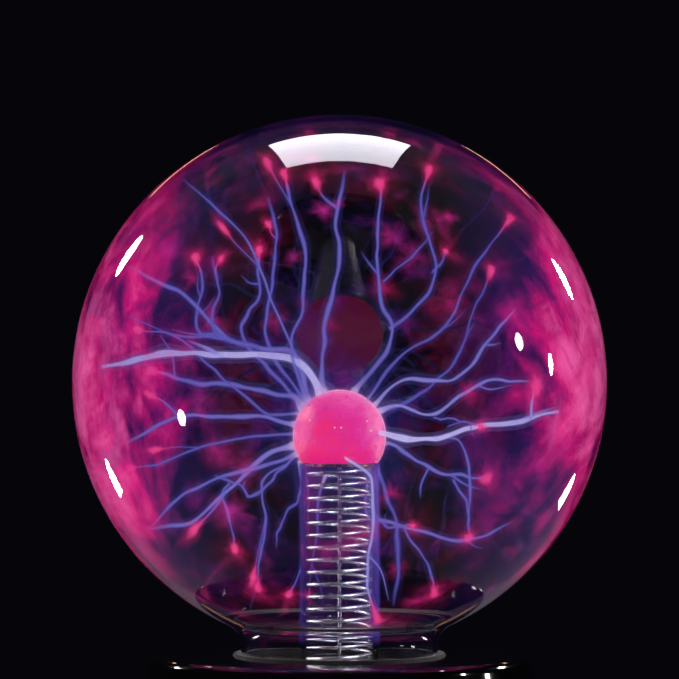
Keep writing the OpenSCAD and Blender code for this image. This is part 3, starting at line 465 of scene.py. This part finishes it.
def lift(outline, side):
    """Gives the flat (x, z) points their depth: from the ball's surface out to the glass."""
    flat = [Vector((x * MM, 0, z * MM)) for x, z in outline]
    lengths = [0.0]
    for a, b in zip(flat, flat[1:]):
        lengths.append(lengths[-1] + (b - a).length)
    reach = INNER_R - WALL_GAP
    ball = Vector((0, 0, BALL_Z - GLOBE_Z))

    def depth(p, radius, centre):
        return math.sqrt(max(0.0, radius ** 2 - (p - centre).length ** 2))

    near = depth(flat[0], BALL_R, ball)
    start_out = (flat[0] - ball).length
    if start_out > BALL_R * 1.25:
        near = depth(flat[0], reach, Vector()) * min(0.6, (start_out - BALL_R) / reach)
    far = depth(flat[-1], reach, Vector())
    result = []
    for p, s in zip(flat, lengths):
        t = s / lengths[-1]
        y = near + (far - near) * t ** 1.25
        y = min(y, depth(p, reach, Vector()))
        result.append(CENTRE + Vector((p.x, side * y, p.z)))
    middle = CENTRE + ball
    if start_out <= BALL_R * 1.25:
        result[0] = middle + (result[0] - middle).normalized() * BALL_R * 1.04
        result.insert(0, middle + (result[0] - middle) * 0.80)
    return result


def inside_glass(p):
    """Pulls a point back inside the globe."""
    out = (p - CENTRE).length
    limit = INNER_R - WALL_GAP
    return p if out < limit else CENTRE + (p - CENTRE) * (limit / out)


def wander(run, seed, size):
    """A streamer's slow sideways wander, none at its two ends."""
    result = []
    for i, p in enumerate(run):
        t = i / (len(run) - 1)
        hold = min(1.0, 5 * t, 5 * (1 - t))
        q = p * 34.0 + Vector((seed * 7.1, seed * 3.7, 0))
        shift = noise.noise_vector(q) + 0.34 * noise.noise_vector(q * 3.3)
        result.append(inside_glass(p + shift * size * hold))
    return result


def forks(run, rng, width, bright):
    """Up to two short dim twigs that leave the outer half of a streamer."""
    twigs = []
    for _ in range(rng.choice((0, 1, 1, 2)) if len(run) > 40 else 0):
        at = int(len(run) * rng.uniform(0.45, 0.85))
        ahead = (run[min(at + 3, len(run) - 1)] - run[at]).normalized()
        turn = Vector([rng.uniform(-1, 1) for _ in range(3)]).normalized()
        heading = (ahead + 0.8 * (turn - ahead * turn.dot(ahead)))
        reach = rng.uniform(9, 20) * MM
        bend = heading * 0.45 * reach + turn * 0.12 * reach
        points = [run[at], inside_glass(run[at] + bend), inside_glass(run[at] + heading * reach)]
        twigs.append((smooth(points, STEP), width * 0.55, bright * 0.7, int(rng.random() < 0.3)))
    return twigs


def blend_color(a, b, t):
    t = min(1.0, max(0.0, t))
    return [x + (y - x) * t for x, y in zip(a, b)]


def streamer_color(bright):
    """Blue violet when dim, lavender when bright, nearly white when hottest."""
    color = blend_color(VIOLET, LAVENDER, bright ** 1.5)
    return blend_color(color, WHITE_HOT, (bright - 0.55) * 0.9)


def add_puff_layer(store, centre, radius, color, dense, rings=8, sides=14, along=Vector(), ragged=0.0):
    """One thin shell of light, drawn out by the vector along and made uneven by ragged."""
    base = len(store["verts"])
    for i in range(rings + 1):
        a = math.pi * i / rings
        for k in range(sides):
            b = 2 * math.pi * k / sides
            spot = Vector((math.sin(a) * math.cos(b), math.sin(a) * math.sin(b), math.cos(a)))
            lump = 1 + ragged * noise.noise(spot * 1.7 + centre * 260.0)
            ahead = along * spot.dot(along.normalized())
            store["verts"].append(inside_glass(centre + spot * radius * lump + ahead))
            store["glow"].append((*color, dense))
    for i in range(rings):
        for k in range(sides):
            p, q = base + i * sides + k, base + i * sides + (k + 1) % sides
            store["faces"].append((p, p + sides, q + sides, q))


def add_puff(store, centre, radius, color, dense, along):
    """A soft drawn-out flame: nested thin shells that add up towards the middle."""
    for scale in (1.0, 0.78, 0.56, 0.34):
        add_puff_layer(store, centre, radius * scale, color, dense * (1.3 - scale), 10, 16, along * scale, 0.9)


def make_streamers():
    core, halo, haze, puffs = new_store(), new_store(), new_store(), new_store()
    rng = random.Random(23)
    ends = []
    jobs = []
    for index, (outline, side, width, bright, tip) in enumerate(STREAMERS):
        run = wander(smooth(lift(outline, side), STEP), index, 2.4 * MM)
        jobs.append((run, width, bright, tip))
        jobs += forks(run, rng, width, bright)
    for index, (run, width, bright, tip) in enumerate(jobs):
        count = len(run) - 1
        length = sum((b - a).length for a, b in zip(run, run[1:]))
        outward = run[0] - Vector((0, 0, BALL_Z))
        start_on_ball = outward.length < BALL_R + 1.5 * MM
        facing = abs(outward.normalized().y)
        radii, glow_core, glow_halo, glow_haze, glow_line = [], [], [], [], []
        for i in range(count + 1):
            t = i / count
            left = (1 - t) * length
            uneven = 0.88 + 0.55 * noise.noise(Vector((i * 0.11, index * 5.3, 0)))
            narrow = 1 - 0.3 * t
            root = math.exp(-max(0.0, t * length - 0.2 * BALL_R) / (2.2 * MM))
            rose = min(1.0, max(0.0, 1.25 - left / TIP_LENGTH)) if tip == 1 else 0.0
            fade = min(1.0, left / (14 * MM) + 0.1) if tip == 0 else 1.0 - 0.45 * rose
            radii.append(width * MM / 2 * uneven * narrow * (1 - 0.2 * min(1.0, 2 * rose) + 0.5 * rose ** 3)
                         * (1 + (root * (0.9 - 1.3 * facing) if start_on_ball else 0.0)))
            color = blend_color(streamer_color(bright * (1.05 - 0.25 * t)), ROSE, rose * 1.3)
            if start_on_ball:
                color = blend_color(color, (1.0, 0.62, 0.95), 0.8 * root)
                fade *= 1 - 0.7 * root * facing
            level = (0.55 + 0.5 * bright)
            glow_core.append((*[c * level for c in color], (0.42 + 0.5 * bright) * fade))
            glow_line.append((*blend_color(color, (0.75, 0.66, 1.0), 0.22), (0.20 + 0.35 * bright) * fade))
            soft = blend_color(VIOLET, color, 0.35 + 0.5 * rose)
            glow_halo.append((*soft, (0.08 + 0.12 * bright) * fade))
            glow_haze.append((*soft, (0.025 + 0.04 * bright) * fade))
        add_tube(core, run, [r * 0.92 for r in radii], glow_core, 8)
        add_tube(core, run, [r * 0.45 for r in radii], glow_line, 6)
        add_tube(halo, run, [r * 1.3 + 0.12 * MM for r in radii], glow_halo, 10)
        add_tube(haze, run, [r * 2.0 + 0.9 * MM for r in radii], glow_haze, 10)
        if tip == 1:
            size = (0.7 + 0.55 * width * (0.6 + bright)) * MM * rng.uniform(0.8, 1.3)
            ahead = run[-1] - run[-max(2, min(len(run), 7))]
            ahead = ahead.normalized() * size * rng.uniform(0.8, 2.4)
            add_puff(puffs, run[-1] - ahead * 0.5, size, blend_color(ROSE, (1, 0.2, 0.5), 0.35), 0.34, ahead)
            add_puff(puffs, run[-1], size * 2.1, ROSE, 0.07, ahead * 1.6)
        ends.append((run[-1], width, bright, tip))
    for name, store in (
        ("streamer_cores", core), ("streamer_halo", halo), ("streamer_haze", haze), ("streamer_tips", puffs),
    ):
        obj = piece(name, store["verts"], store["faces"], store["glow"])
        obj.data.materials.append(glow_material(name, 1.0, 0.35, 90.0))
    return ends


def cap_on_wall(store, direction, angle, color, dense, seed, rings=9, sides=28, stretch=1.0):
    """A soft round patch of glow on the inside of the glass, densest in its middle."""
    base = len(store["verts"])
    side = direction.orthogonal().normalized()
    up = direction.cross(side)
    radius = INNER_R - 0.5 * MM - (seed % 5) * 0.12 * MM
    store["verts"].append(CENTRE + direction * radius)
    store["glow"].append((*color, dense))
    for i in range(1, rings + 1):
        t = i / rings
        for k in range(sides):
            a = 2 * math.pi * k / sides
            edge = 1 + 0.8 * noise.noise(Vector((math.cos(a) * 1.6, math.sin(a) * 1.6, seed * 2.7)))
            w = angle * t * edge
            d = direction * math.cos(w)
            d += math.sin(w) * (math.cos(a) * side * stretch + math.sin(a) * up)
            store["verts"].append(CENTRE + d.normalized() * radius)
            store["glow"].append((*color, dense * (1 - t) ** 1.7))
    for k in range(sides):
        store["faces"].append((base, base + 1 + k, base + 1 + (k + 1) % sides))
    for i in range(rings - 1):
        for k in range(sides):
            a = base + 1 + i * sides + k
            b = base + 1 + i * sides + (k + 1) % sides
            store["faces"].append((a, a + sides, b + sides, b))


def make_flares(ends):
    """Rose patches where the streamers land on the glass."""
    store = new_store()
    for index, (point, width, bright, tip) in enumerate(ends):
        if tip == 0 and bright < 0.4:
            continue
        direction = (point - CENTRE).normalized()
        size = math.radians(2.2 + 1.5 * width)
        dense = (0.22, 0.55, 0.75)[tip] * (0.5 + 0.5 * bright)
        cap_on_wall(store, direction, size, blend_color(ROSE, (1.0, 0.14, 0.45), bright * 0.6), dense, index)
        cap_on_wall(store, direction, size * 2.4, ROSE, dense * 0.3, index + 50)
    rng = random.Random(5)
    for index in range(64):
        turn, rise = rng.uniform(0, 2 * math.pi), math.asin(rng.uniform(-0.82, 0.93))
        direction = Vector((math.cos(rise) * math.cos(turn), math.cos(rise) * math.sin(turn), math.sin(rise)))
        size = math.radians(rng.uniform(2.0, 6.5))
        color = blend_color(ROSE, (0.9, 0.05, 0.55), rng.random())
        cap_on_wall(store, direction, size, color, rng.uniform(0.15, 0.6), index + 100, 6, 20)
    flares = piece("landing_flares", store["verts"], store["faces"], store["glow"])
    flares.data.materials.append(glow_material("landing_flares", 0.95, 0.85, 150.0))


def combine(nodes, links, operation, a, b):
    """A math node of two sources, each an output socket or a number."""
    node = nodes.new("ShaderNodeMath")
    node.operation = operation
    for source, socket in ((a, node.inputs[0]), (b, node.inputs[1])):
        if isinstance(source, (int, float)):
            socket.default_value = source
        else:
            links.new(source, socket)
    return node.outputs["Value"]


def wall_haze_material():
    """Cloudy rose light on the inside of the glass: thick at the left and right, thinner round the
    globe's side-to-side rim, and in torn wisps elsewhere."""
    mat, nodes, links, out = blank("wall_haze")
    coord = nodes.new("ShaderNodeTexCoord")
    split = nodes.new("ShaderNodeSeparateXYZ")
    links.new(coord.outputs["Object"], split.inputs["Vector"])
    across = combine(nodes, links, "ABSOLUTE", split.outputs["X"], 0.0)
    deep = combine(nodes, links, "ABSOLUTE", split.outputs["Y"], 0.0)
    side = remap(nodes, links, across, GLOBE_R * 0.40, GLOBE_R * 0.90, 0.0, 1.0)
    rim = remap(nodes, links, deep, GLOBE_R * 0.42, GLOBE_R * 0.10, 0.0, 1.0)
    rim = combine(nodes, links, "MULTIPLY", rim, remap(
        nodes, links, across, GLOBE_R * 0.30, GLOBE_R * 0.75, 0.25, 1.0))
    limb = remap(nodes, links, across, GLOBE_R * 0.60, GLOBE_R * 0.90, 0.0, 0.10)
    big = combine(nodes, links, "ADD", limb, pattern(nodes, links, 15.0, 7.0, 0.62, (1, 1, 0.8), 1.1))
    fine = remap(nodes, links, pattern(nodes, links, 70.0, 6.0, 0.7, distortion=0.6), 0.36, 0.62, 0.45, 1.0)
    torn = combine(nodes, links, "MULTIPLY", remap(nodes, links, big, 0.485, 0.62, 0.0, 1.0), fine)
    small = pattern(nodes, links, 34.0, 6.0, 0.68, distortion=0.8)
    rare = combine(nodes, links, "MULTIPLY", remap(nodes, links, small, 0.52, 0.68, 0.0, 0.28), fine)
    edge = combine(nodes, links, "MULTIPLY", rim, remap(nodes, links, big, 0.42, 0.64, 0.18, 0.9))
    edge = combine(nodes, links, "MULTIPLY", edge, fine)
    rose = combine(nodes, links, "MULTIPLY", side, torn)
    rose = combine(nodes, links, "MAXIMUM", rose, edge)
    rose = combine(nodes, links, "MAXIMUM", rose, rare)
    veil = combine(nodes, links, "MULTIPLY", side, 0.14)
    dense = combine(nodes, links, "MAXIMUM", rose, veil)
    low = remap(nodes, links, split.outputs["Z"], GLOBE_Z - 0.95 * GLOBE_R, GLOBE_Z - 0.50 * GLOBE_R, 0.1, 1)
    top = remap(nodes, links, split.outputs["Z"], GLOBE_Z + 0.40 * GLOBE_R, GLOBE_Z + 0.72 * GLOBE_R, 1, 0.58)
    dense = combine(nodes, links, "MULTIPLY", dense, combine(nodes, links, "MULTIPLY", low, top))
    pole = remap(nodes, links, across, GLOBE_R * 0.78, GLOBE_R * 0.97, 0.70, 0.46)
    dense = combine(nodes, links, "MULTIPLY", dense, pole)
    light = nodes.new("ShaderNodeEmission")
    light.inputs["Strength"].default_value = 1.0
    ramp = nodes.new("ShaderNodeValToRGB")
    ramp.color_ramp.elements[0].position = 0.08
    ramp.color_ramp.elements[0].color = (0.06, 0.02, 0.28, 1)
    ramp.color_ramp.elements[1].position = 0.92
    ramp.color_ramp.elements[1].color = (1.0, 0.14, 0.46, 1)
    middle = ramp.color_ramp.elements.new(0.40)
    middle.color = (0.80, 0.008, 0.23, 1)
    links.new(rose, ramp.inputs["Fac"])
    links.new(ramp.outputs["Color"], light.inputs["Color"])
    clear = nodes.new("ShaderNodeBsdfTransparent")
    mix = nodes.new("ShaderNodeMixShader")
    links.new(dense, mix.inputs["Fac"])
    links.new(clear.outputs["BSDF"], mix.inputs[1])
    links.new(light.outputs["Emission"], mix.inputs[2])
    links.new(mix.outputs["Shader"], out.inputs["Surface"])
    mat.cycles.emission_sampling = "NONE"
    return mat


def make_wall_haze():
    """One layer of glow on the inside of the glass, and one that the glass itself carries."""
    centre, angle = sweep_geometry()
    mat = wall_haze_material()
    for name, depth in (("wall_haze", GLASS_T + 0.35 * MM), ("wall_glow", 0.3 * MM)):
        outline = arc((0, GLOBE_Z), GLOBE_R - depth, 90, angle, 60)
        outline[0] = (0, outline[0][1])
        outline += arc(centre, NECK_SWEEP + depth, angle + 180, 180, 6)
        outline += [(NECK_R - depth, BASE_TOP_Z - 2 * MM)]
        haze = lathe(name, outline, 96, closed=False)
        haze.data.materials.append(mat)


def make_ball_glow():
    """Thin layers of light that cling to the electrode ball."""
    store = new_store()
    seg, rows = 64, 36
    for layer, (grow, color, dense) in enumerate((
        (0.35 * MM, (1.0, 0.30, 0.65), 0.05), (0.8 * MM, (1.0, 0.20, 0.70), 0.04),
        (1.6 * MM, (0.50, 0.10, 0.60), 0.03),
    )):
        radius = BALL_R + grow
        base = len(store["verts"])
        for i in range(rows + 1):
            a = math.radians(90 - 124 * i / rows)
            for k in range(seg):
                b = 2 * math.pi * k / seg
                store["verts"].append(Vector((
                    radius * math.cos(a) * math.cos(b), radius * math.cos(a) * math.sin(b),
                    BALL_Z + radius * math.sin(a))))
                fade = min(1.0, 6 * (1 - i / rows))
                store["glow"].append((*color, dense * fade))
        for i in range(rows):
            for k in range(seg):
                p, q = base + i * seg + k, base + i * seg + (k + 1) % seg
                store["faces"].append((p, p + seg, q + seg, q))
    for turn, rise in ((-52, 20), (-96, 12), (-88, 12), (-48, 8), (-132, 21), (20, 15), (80, 30), (150, -5)):
        t, u = math.radians(turn), math.radians(rise)
        spot = Vector((math.cos(u) * math.cos(t), math.cos(u) * math.sin(t), math.sin(u)))
        add_puff_layer(store, Vector((0, 0, BALL_Z)) + spot * (BALL_R + 0.1 * MM), 0.32 * MM, (1, 0.8, 0.95), 0.7)
    glow = piece("ball_glow", store["verts"], store["faces"], store["glow"])
    glow.data.materials.append(glow_material("ball_glow", 1.0, 0.35, 220.0))


def make_blue_haze():
    """A dim blue-violet haze round the electrode ball, in nested uneven layers."""
    store = new_store()
    for i in range(6):
        grow = (3.0 + 2.8 * i) * MM
        add_puff_layer(store, Vector((0, 0, BALL_Z + 2 * MM)), BALL_R + grow, (0.05, 0.045, 0.34),
                       0.045 * (1 - i / 7), 24, 40)
    obj = piece("ball_haze", store["verts"], store["faces"], store["glow"])
    obj.data.materials.append(glow_material("ball_haze", 1.0, 0.9, 55.0))


def make_stem_glow():
    """A blue-violet film of light on the stem tube, stronger on its right."""
    store = new_store()
    seg, rows = 72, 40
    low, high = BASE_TOP_Z + 4 * MM, ball_low[2] - 0.4 * MM
    for layer, (grow, level) in enumerate(((0.3 * MM, 1.0), (0.9 * MM, 0.5))):
        base = len(store["verts"])
        for i in range(rows + 1):
            t = i / rows
            z = low + (high - low) * t
            for k in range(seg):
                b = 2 * math.pi * k / seg
                r = STEM_R + grow
                side = math.cos(b)
                blue = 0.006 + 0.09 * max(0.0, side) ** 4 + 0.05 * max(0.0, -side) ** 12
                store["verts"].append(Vector((r * math.cos(b), r * math.sin(b), z)))
                color = blend_color((0.10, 0.09, 0.75), (0.30, 0.14, 0.85), t)
                ends = min(1.0, 8 * t, 8 * (1 - t) + 0.4)
                store["glow"].append((*color, blue * level * ends * 1.6))
        for i in range(rows):
            for k in range(seg):
                p, q = base + i * seg + k, base + i * seg + (k + 1) % seg
                store["faces"].append((p, q, q + seg, p + seg))
    glow = piece("stem_glow", store["verts"], store["faces"], store["glow"])
    glow.data.materials.append(glow_material("stem_glow", 1.0, 0.3, 90.0))


# ---------------------------------------------------------------- finishes of the CAD nodes

FINISHES = {
    "brass": dict(metallic=1.0, rough=0.25, grain=600.0, vary=0.1),
    "nylon": dict(rough=0.5, grain=500.0, bump=0.12),
    "soft_rubber": dict(rough=0.78, grain=1400.0, bump=0.3, vary=0.25),
    "silicone": dict(rough=0.45, grain=160.0, bump=0.4),
    "screw_steel": dict(metallic=1.0, rough=0.32, grain=900.0, stretch=(1, 1, 0.2)),
    "gloss_black": dict(rough=0.07, spread=0.035, grain=240.0, bump=0.012, coat=0.5, vary=0.3),
    "satin_black": dict(rough=0.36, spread=0.08, grain=2600.0, bump=0.22, vary=0.2),
    "board_green": dict(rough=0.3, grain=1200.0, bump=0.15, vary=0.25, coat=0.3),
    "ferrite": dict(rough=0.6, grain=1600.0, bump=0.25, vary=0.2),
    "bobbin_plastic": dict(rough=0.45, grain=1200.0, bump=0.15),
    "winding_tape": dict(rough=0.3, grain=500.0, stretch=(0.2, 0.2, 6), bump=0.4, coat=0.3),
    "copper_wire": dict(metallic=1.0, rough=0.3, grain=800.0),
    "raw_aluminium": dict(metallic=1.0, rough=0.35, grain=900.0, stretch=(1, 1, 0.08), bump=0.15),
    "tinned_metal": dict(metallic=1.0, rough=0.22, grain=700.0),
    "black_epoxy": dict(rough=0.55, grain=1800.0, bump=0.25),
    "capacitor_sleeve": dict(rough=0.25, grain=500.0, bump=0.1, coat=0.3),
    "film_epoxy": dict(rough=0.2, grain=300.0, bump=0.15, coat=0.5),
    "resistor_ceramic": dict(rough=0.5, grain=900.0, bump=0.15),
    "rocker_red": dict(rough=0.2, spread=0.05, grain=900.0, bump=0.05, coat=0.3),
    "pot_can": dict(metallic=1.0, rough=0.35, grain=700.0, stretch=(4, 0.2, 4)),
    "knob_black": dict(rough=0.42, grain=2200.0, bump=0.25, vary=0.25),
    "silicone_wire": dict(rough=0.5, grain=700.0, bump=0.15),
    "red_wire": dict(rough=0.4, grain=700.0, bump=0.1),
    "yellow_wire": dict(rough=0.4, grain=700.0, bump=0.1),
    "white_wire": dict(rough=0.4, grain=700.0, bump=0.1),
    "spring_steel": dict(metallic=1.0, rough=0.18, grain=700.0),
}


def finish_nodes():
    """Gives each CAD node that still shows the procedural finish of its slot."""
    record = frame["record"]
    colors = {row["slot"]: row["base_color"][:3] for row in record["materials"]}
    made = {}
    for row in record["subparts"]:
        slot = row["material_slot"]
        if slot not in made:
            if slot in FINISHES:
                made[slot] = solid_material("finish_" + slot, colors[slot], **FINISHES[slot])
            else:
                made[slot] = glass_material("finish_" + slot, colors[slot])
        obj = frame["nodes"][row["node"]]
        obj.data.materials.clear()
        obj.data.materials.append(made[slot])


# ---------------------------------------------------------------- camera, lights and stage

CAMERA_DISTANCE = 1.5
FRAME_WIDTH = 254.3 * MM
AIM_ABOVE_CENTRE = 15.9 * MM


def make_camera():
    data = bpy.data.cameras.new("camera")
    data.sensor_width = 36
    data.lens = 36 * CAMERA_DISTANCE / FRAME_WIDTH
    data.clip_start = 0.02
    camera = bpy.data.objects.new("camera", data)
    camera.location = (0, -CAMERA_DISTANCE, GLOBE_Z + AIM_ABOVE_CENTRE)
    camera.rotation_euler = (math.radians(90), 0, 0)
    bpy.context.scene.collection.objects.link(camera)
    bpy.context.scene.camera = camera


def soft_light(name, direction, distance, size, power, color=(1, 1, 1), shows="both",
               shape="RECTANGLE"):
    """An area light in a direction from the globe's centre, facing it. It lights surfaces ("fill"),
    is only mirrored in them ("mirror"), or does both."""
    data = bpy.data.lights.new(name, "AREA")
    data.shape = shape
    data.size, data.size_y = size
    data.energy = power
    data.color = color
    light = bpy.data.objects.new(name, data)
    away = Vector(direction).normalized()
    light.location = CENTRE + away * distance
    light.rotation_euler = away.to_track_quat("Z", "Y").to_euler()
    light.visible_camera = False
    light.visible_transmission = False
    light.visible_diffuse = shows != "mirror"
    light.visible_glossy = shows != "fill"
    bpy.context.scene.collection.objects.link(light)
    return light


def light_only(light, names):
    """Makes a light act on the named pieces alone."""
    group = bpy.data.collections.new(light.name + "_receivers")
    for name in names:
        group.objects.link(bpy.data.objects[name])
    light.light_linking.receiver_collection = group
    light.data.cycles.use_multiple_importance_sampling = False


def make_lights():
    soft_light("top_softbox", (0, 0.43, 0.90), 0.85, (0.42, 0.36), 4.4, (0.93, 0.9, 1.0), "mirror")
    for name, direction, distance, size, power in (
        ("left_blade_high", (-0.71, 0.56, 0.42), 0.75, (0.07, 0.13), 1.3),
        ("right_blade_high", (0.75, 0.56, 0.34), 0.75, (0.06, 0.12), 1.1),
        ("left_blade_low", (-0.80, 0.45, -0.39), 0.42, (0.04, 0.10), 0.45),
        ("right_blade_low", (0.72, 0.55, -0.41), 0.42, (0.04, 0.10), 0.45),
        ("left_lamp", (-0.90, -0.38, -0.20), 0.75, (0.05, 0.07), 0.45),
        ("right_lamp", (0.93, -0.18, 0.21), 0.75, (0.05, 0.07), 0.45),
        ("right_lamp_low", (0.98, 0.10, 0.08), 0.75, (0.04, 0.08), 0.45),
    ):
        soft_light(name, direction, distance, size, power, (1, 0.95, 0.88), "mirror", "ELLIPSE")
    for name, x in (("left_rim", -0.24), ("right_rim", 0.24)):
        soft_light(name, (x, 0.93, 0.30), 0.9, (0.14, 0.02), 0.028, (1, 0.52, 0.24), "mirror")
    soft_light("key_fill", (-0.35, -0.75, 0.85), 1.3, (0.7, 0.5), 1.3, shows="fill")
    soft_light("back_fill", (0.3, 0.90, 0.25), 1.2, (0.6, 0.5), 2.6, shows="fill")
    coil_names = ["spring_coil"]
    left = soft_light("coil_glint_left", (-0.93, 0.30, 0.15), 0.6, (0.22, 0.30), 100.0, (1, 0.92, 0.85))
    right = soft_light("coil_glint_right", (0.64, -0.75, 0.15), 0.6, (0.16, 0.30), 70.0, (0.95, 0.95, 1))
    light_only(left, coil_names)
    light_only(right, coil_names)
    for name, direction, power in (("ball_rim_back", (0, 1, 0), 20.0), ("ball_rim_left", (-1, 0.4, 0.1), 26.0),
                                   ("ball_rim_right", (1, 0.4, 0.1), 26.0), ("ball_rim_top", (0, 0.7, 1), 12.0)):
        light_only(soft_light(name, direction, 0.45, (0.6, 0.6), power, (1, 0.84, 0.96)), ["coated_ball"])
    spill = bpy.data.lights.new("discharge_spill", "POINT")
    spill.energy = 0.15
    spill.color = (0.85, 0.18, 0.75)
    spill.shadow_soft_size = 0.03
    lamp = bpy.data.objects.new("discharge_spill", spill)
    lamp.location = CENTRE + Vector((0, 0, 0.35 * GLOBE_R))
    lamp.visible_camera = False
    lamp.visible_transmission = False
    lamp.visible_glossy = False
    bpy.context.scene.collection.objects.link(lamp)
    world = bpy.data.worlds.new("world")
    world.use_nodes = True
    background = world.node_tree.nodes["Background"]
    background.inputs["Color"].default_value = (0.006, 0.006, 0.010, 1)
    background.inputs["Strength"].default_value = 0.3
    bpy.context.scene.world = world


def make_floor():
    """A plain round floor with a painted pool of light: its colour is pale in the middle and darkens towards its
    edge, falling off into the dark.
    """
    radius = 0.60
    verts = [(0, 0, 0)]
    seg = 96
    for k in range(seg):
        a = 2 * math.pi * k / seg
        verts.append((radius * math.cos(a), radius * math.sin(a), 0))
    faces = [(0, 1 + k, 1 + (k + 1) % seg) for k in range(seg)]
    mesh = bpy.data.meshes.new("floor")
    mesh.from_pydata(verts, [], faces)
    floor = bpy.data.objects.new("floor", mesh)
    bpy.context.scene.collection.objects.link(floor)
    mat, nodes, links, out = blank("floor")
    shader = nodes.new("ShaderNodeBsdfPrincipled")
    coord = nodes.new("ShaderNodeTexCoord")
    length = nodes.new("ShaderNodeVectorMath")
    length.operation = "LENGTH"
    links.new(coord.outputs["Object"], length.inputs[0])
    # painted shade: the colour runs from pale at 0.25 m out to nearly black at 0.66 m from the middle
    painted_light_falloff = remap(nodes, links, length.outputs["Value"], 0.25, 0.66, 0.0, 1.0)
    links.new(tint(nodes, links, painted_light_falloff, (0.62, 0.62, 0.64), (0.012, 0.012, 0.014)), shader.inputs["Base Color"])
    shader.inputs["Roughness"].default_value = 0.8
    shader.inputs["Specular IOR Level"].default_value = 0.0
    links.new(shader.outputs["BSDF"], out.inputs["Surface"])
    mesh.materials.append(mat)


# ---------------------------------------------------------------- build

random.seed(7)
make_camera()
finish_nodes()
make_globe()
make_stem()
make_ball()
make_coil()
streamer_ends = make_streamers()
make_flares(streamer_ends)
make_wall_haze()
make_ball_glow()
make_blue_haze()
make_stem_glow()
make_lights()
make_floor()

scene = bpy.context.scene
scene.view_settings.view_transform = "Standard"
scene.cycles.transparent_max_bounces = 64
scene.cycles.caustics_reflective = False
scene.cycles.caustics_refractive = False
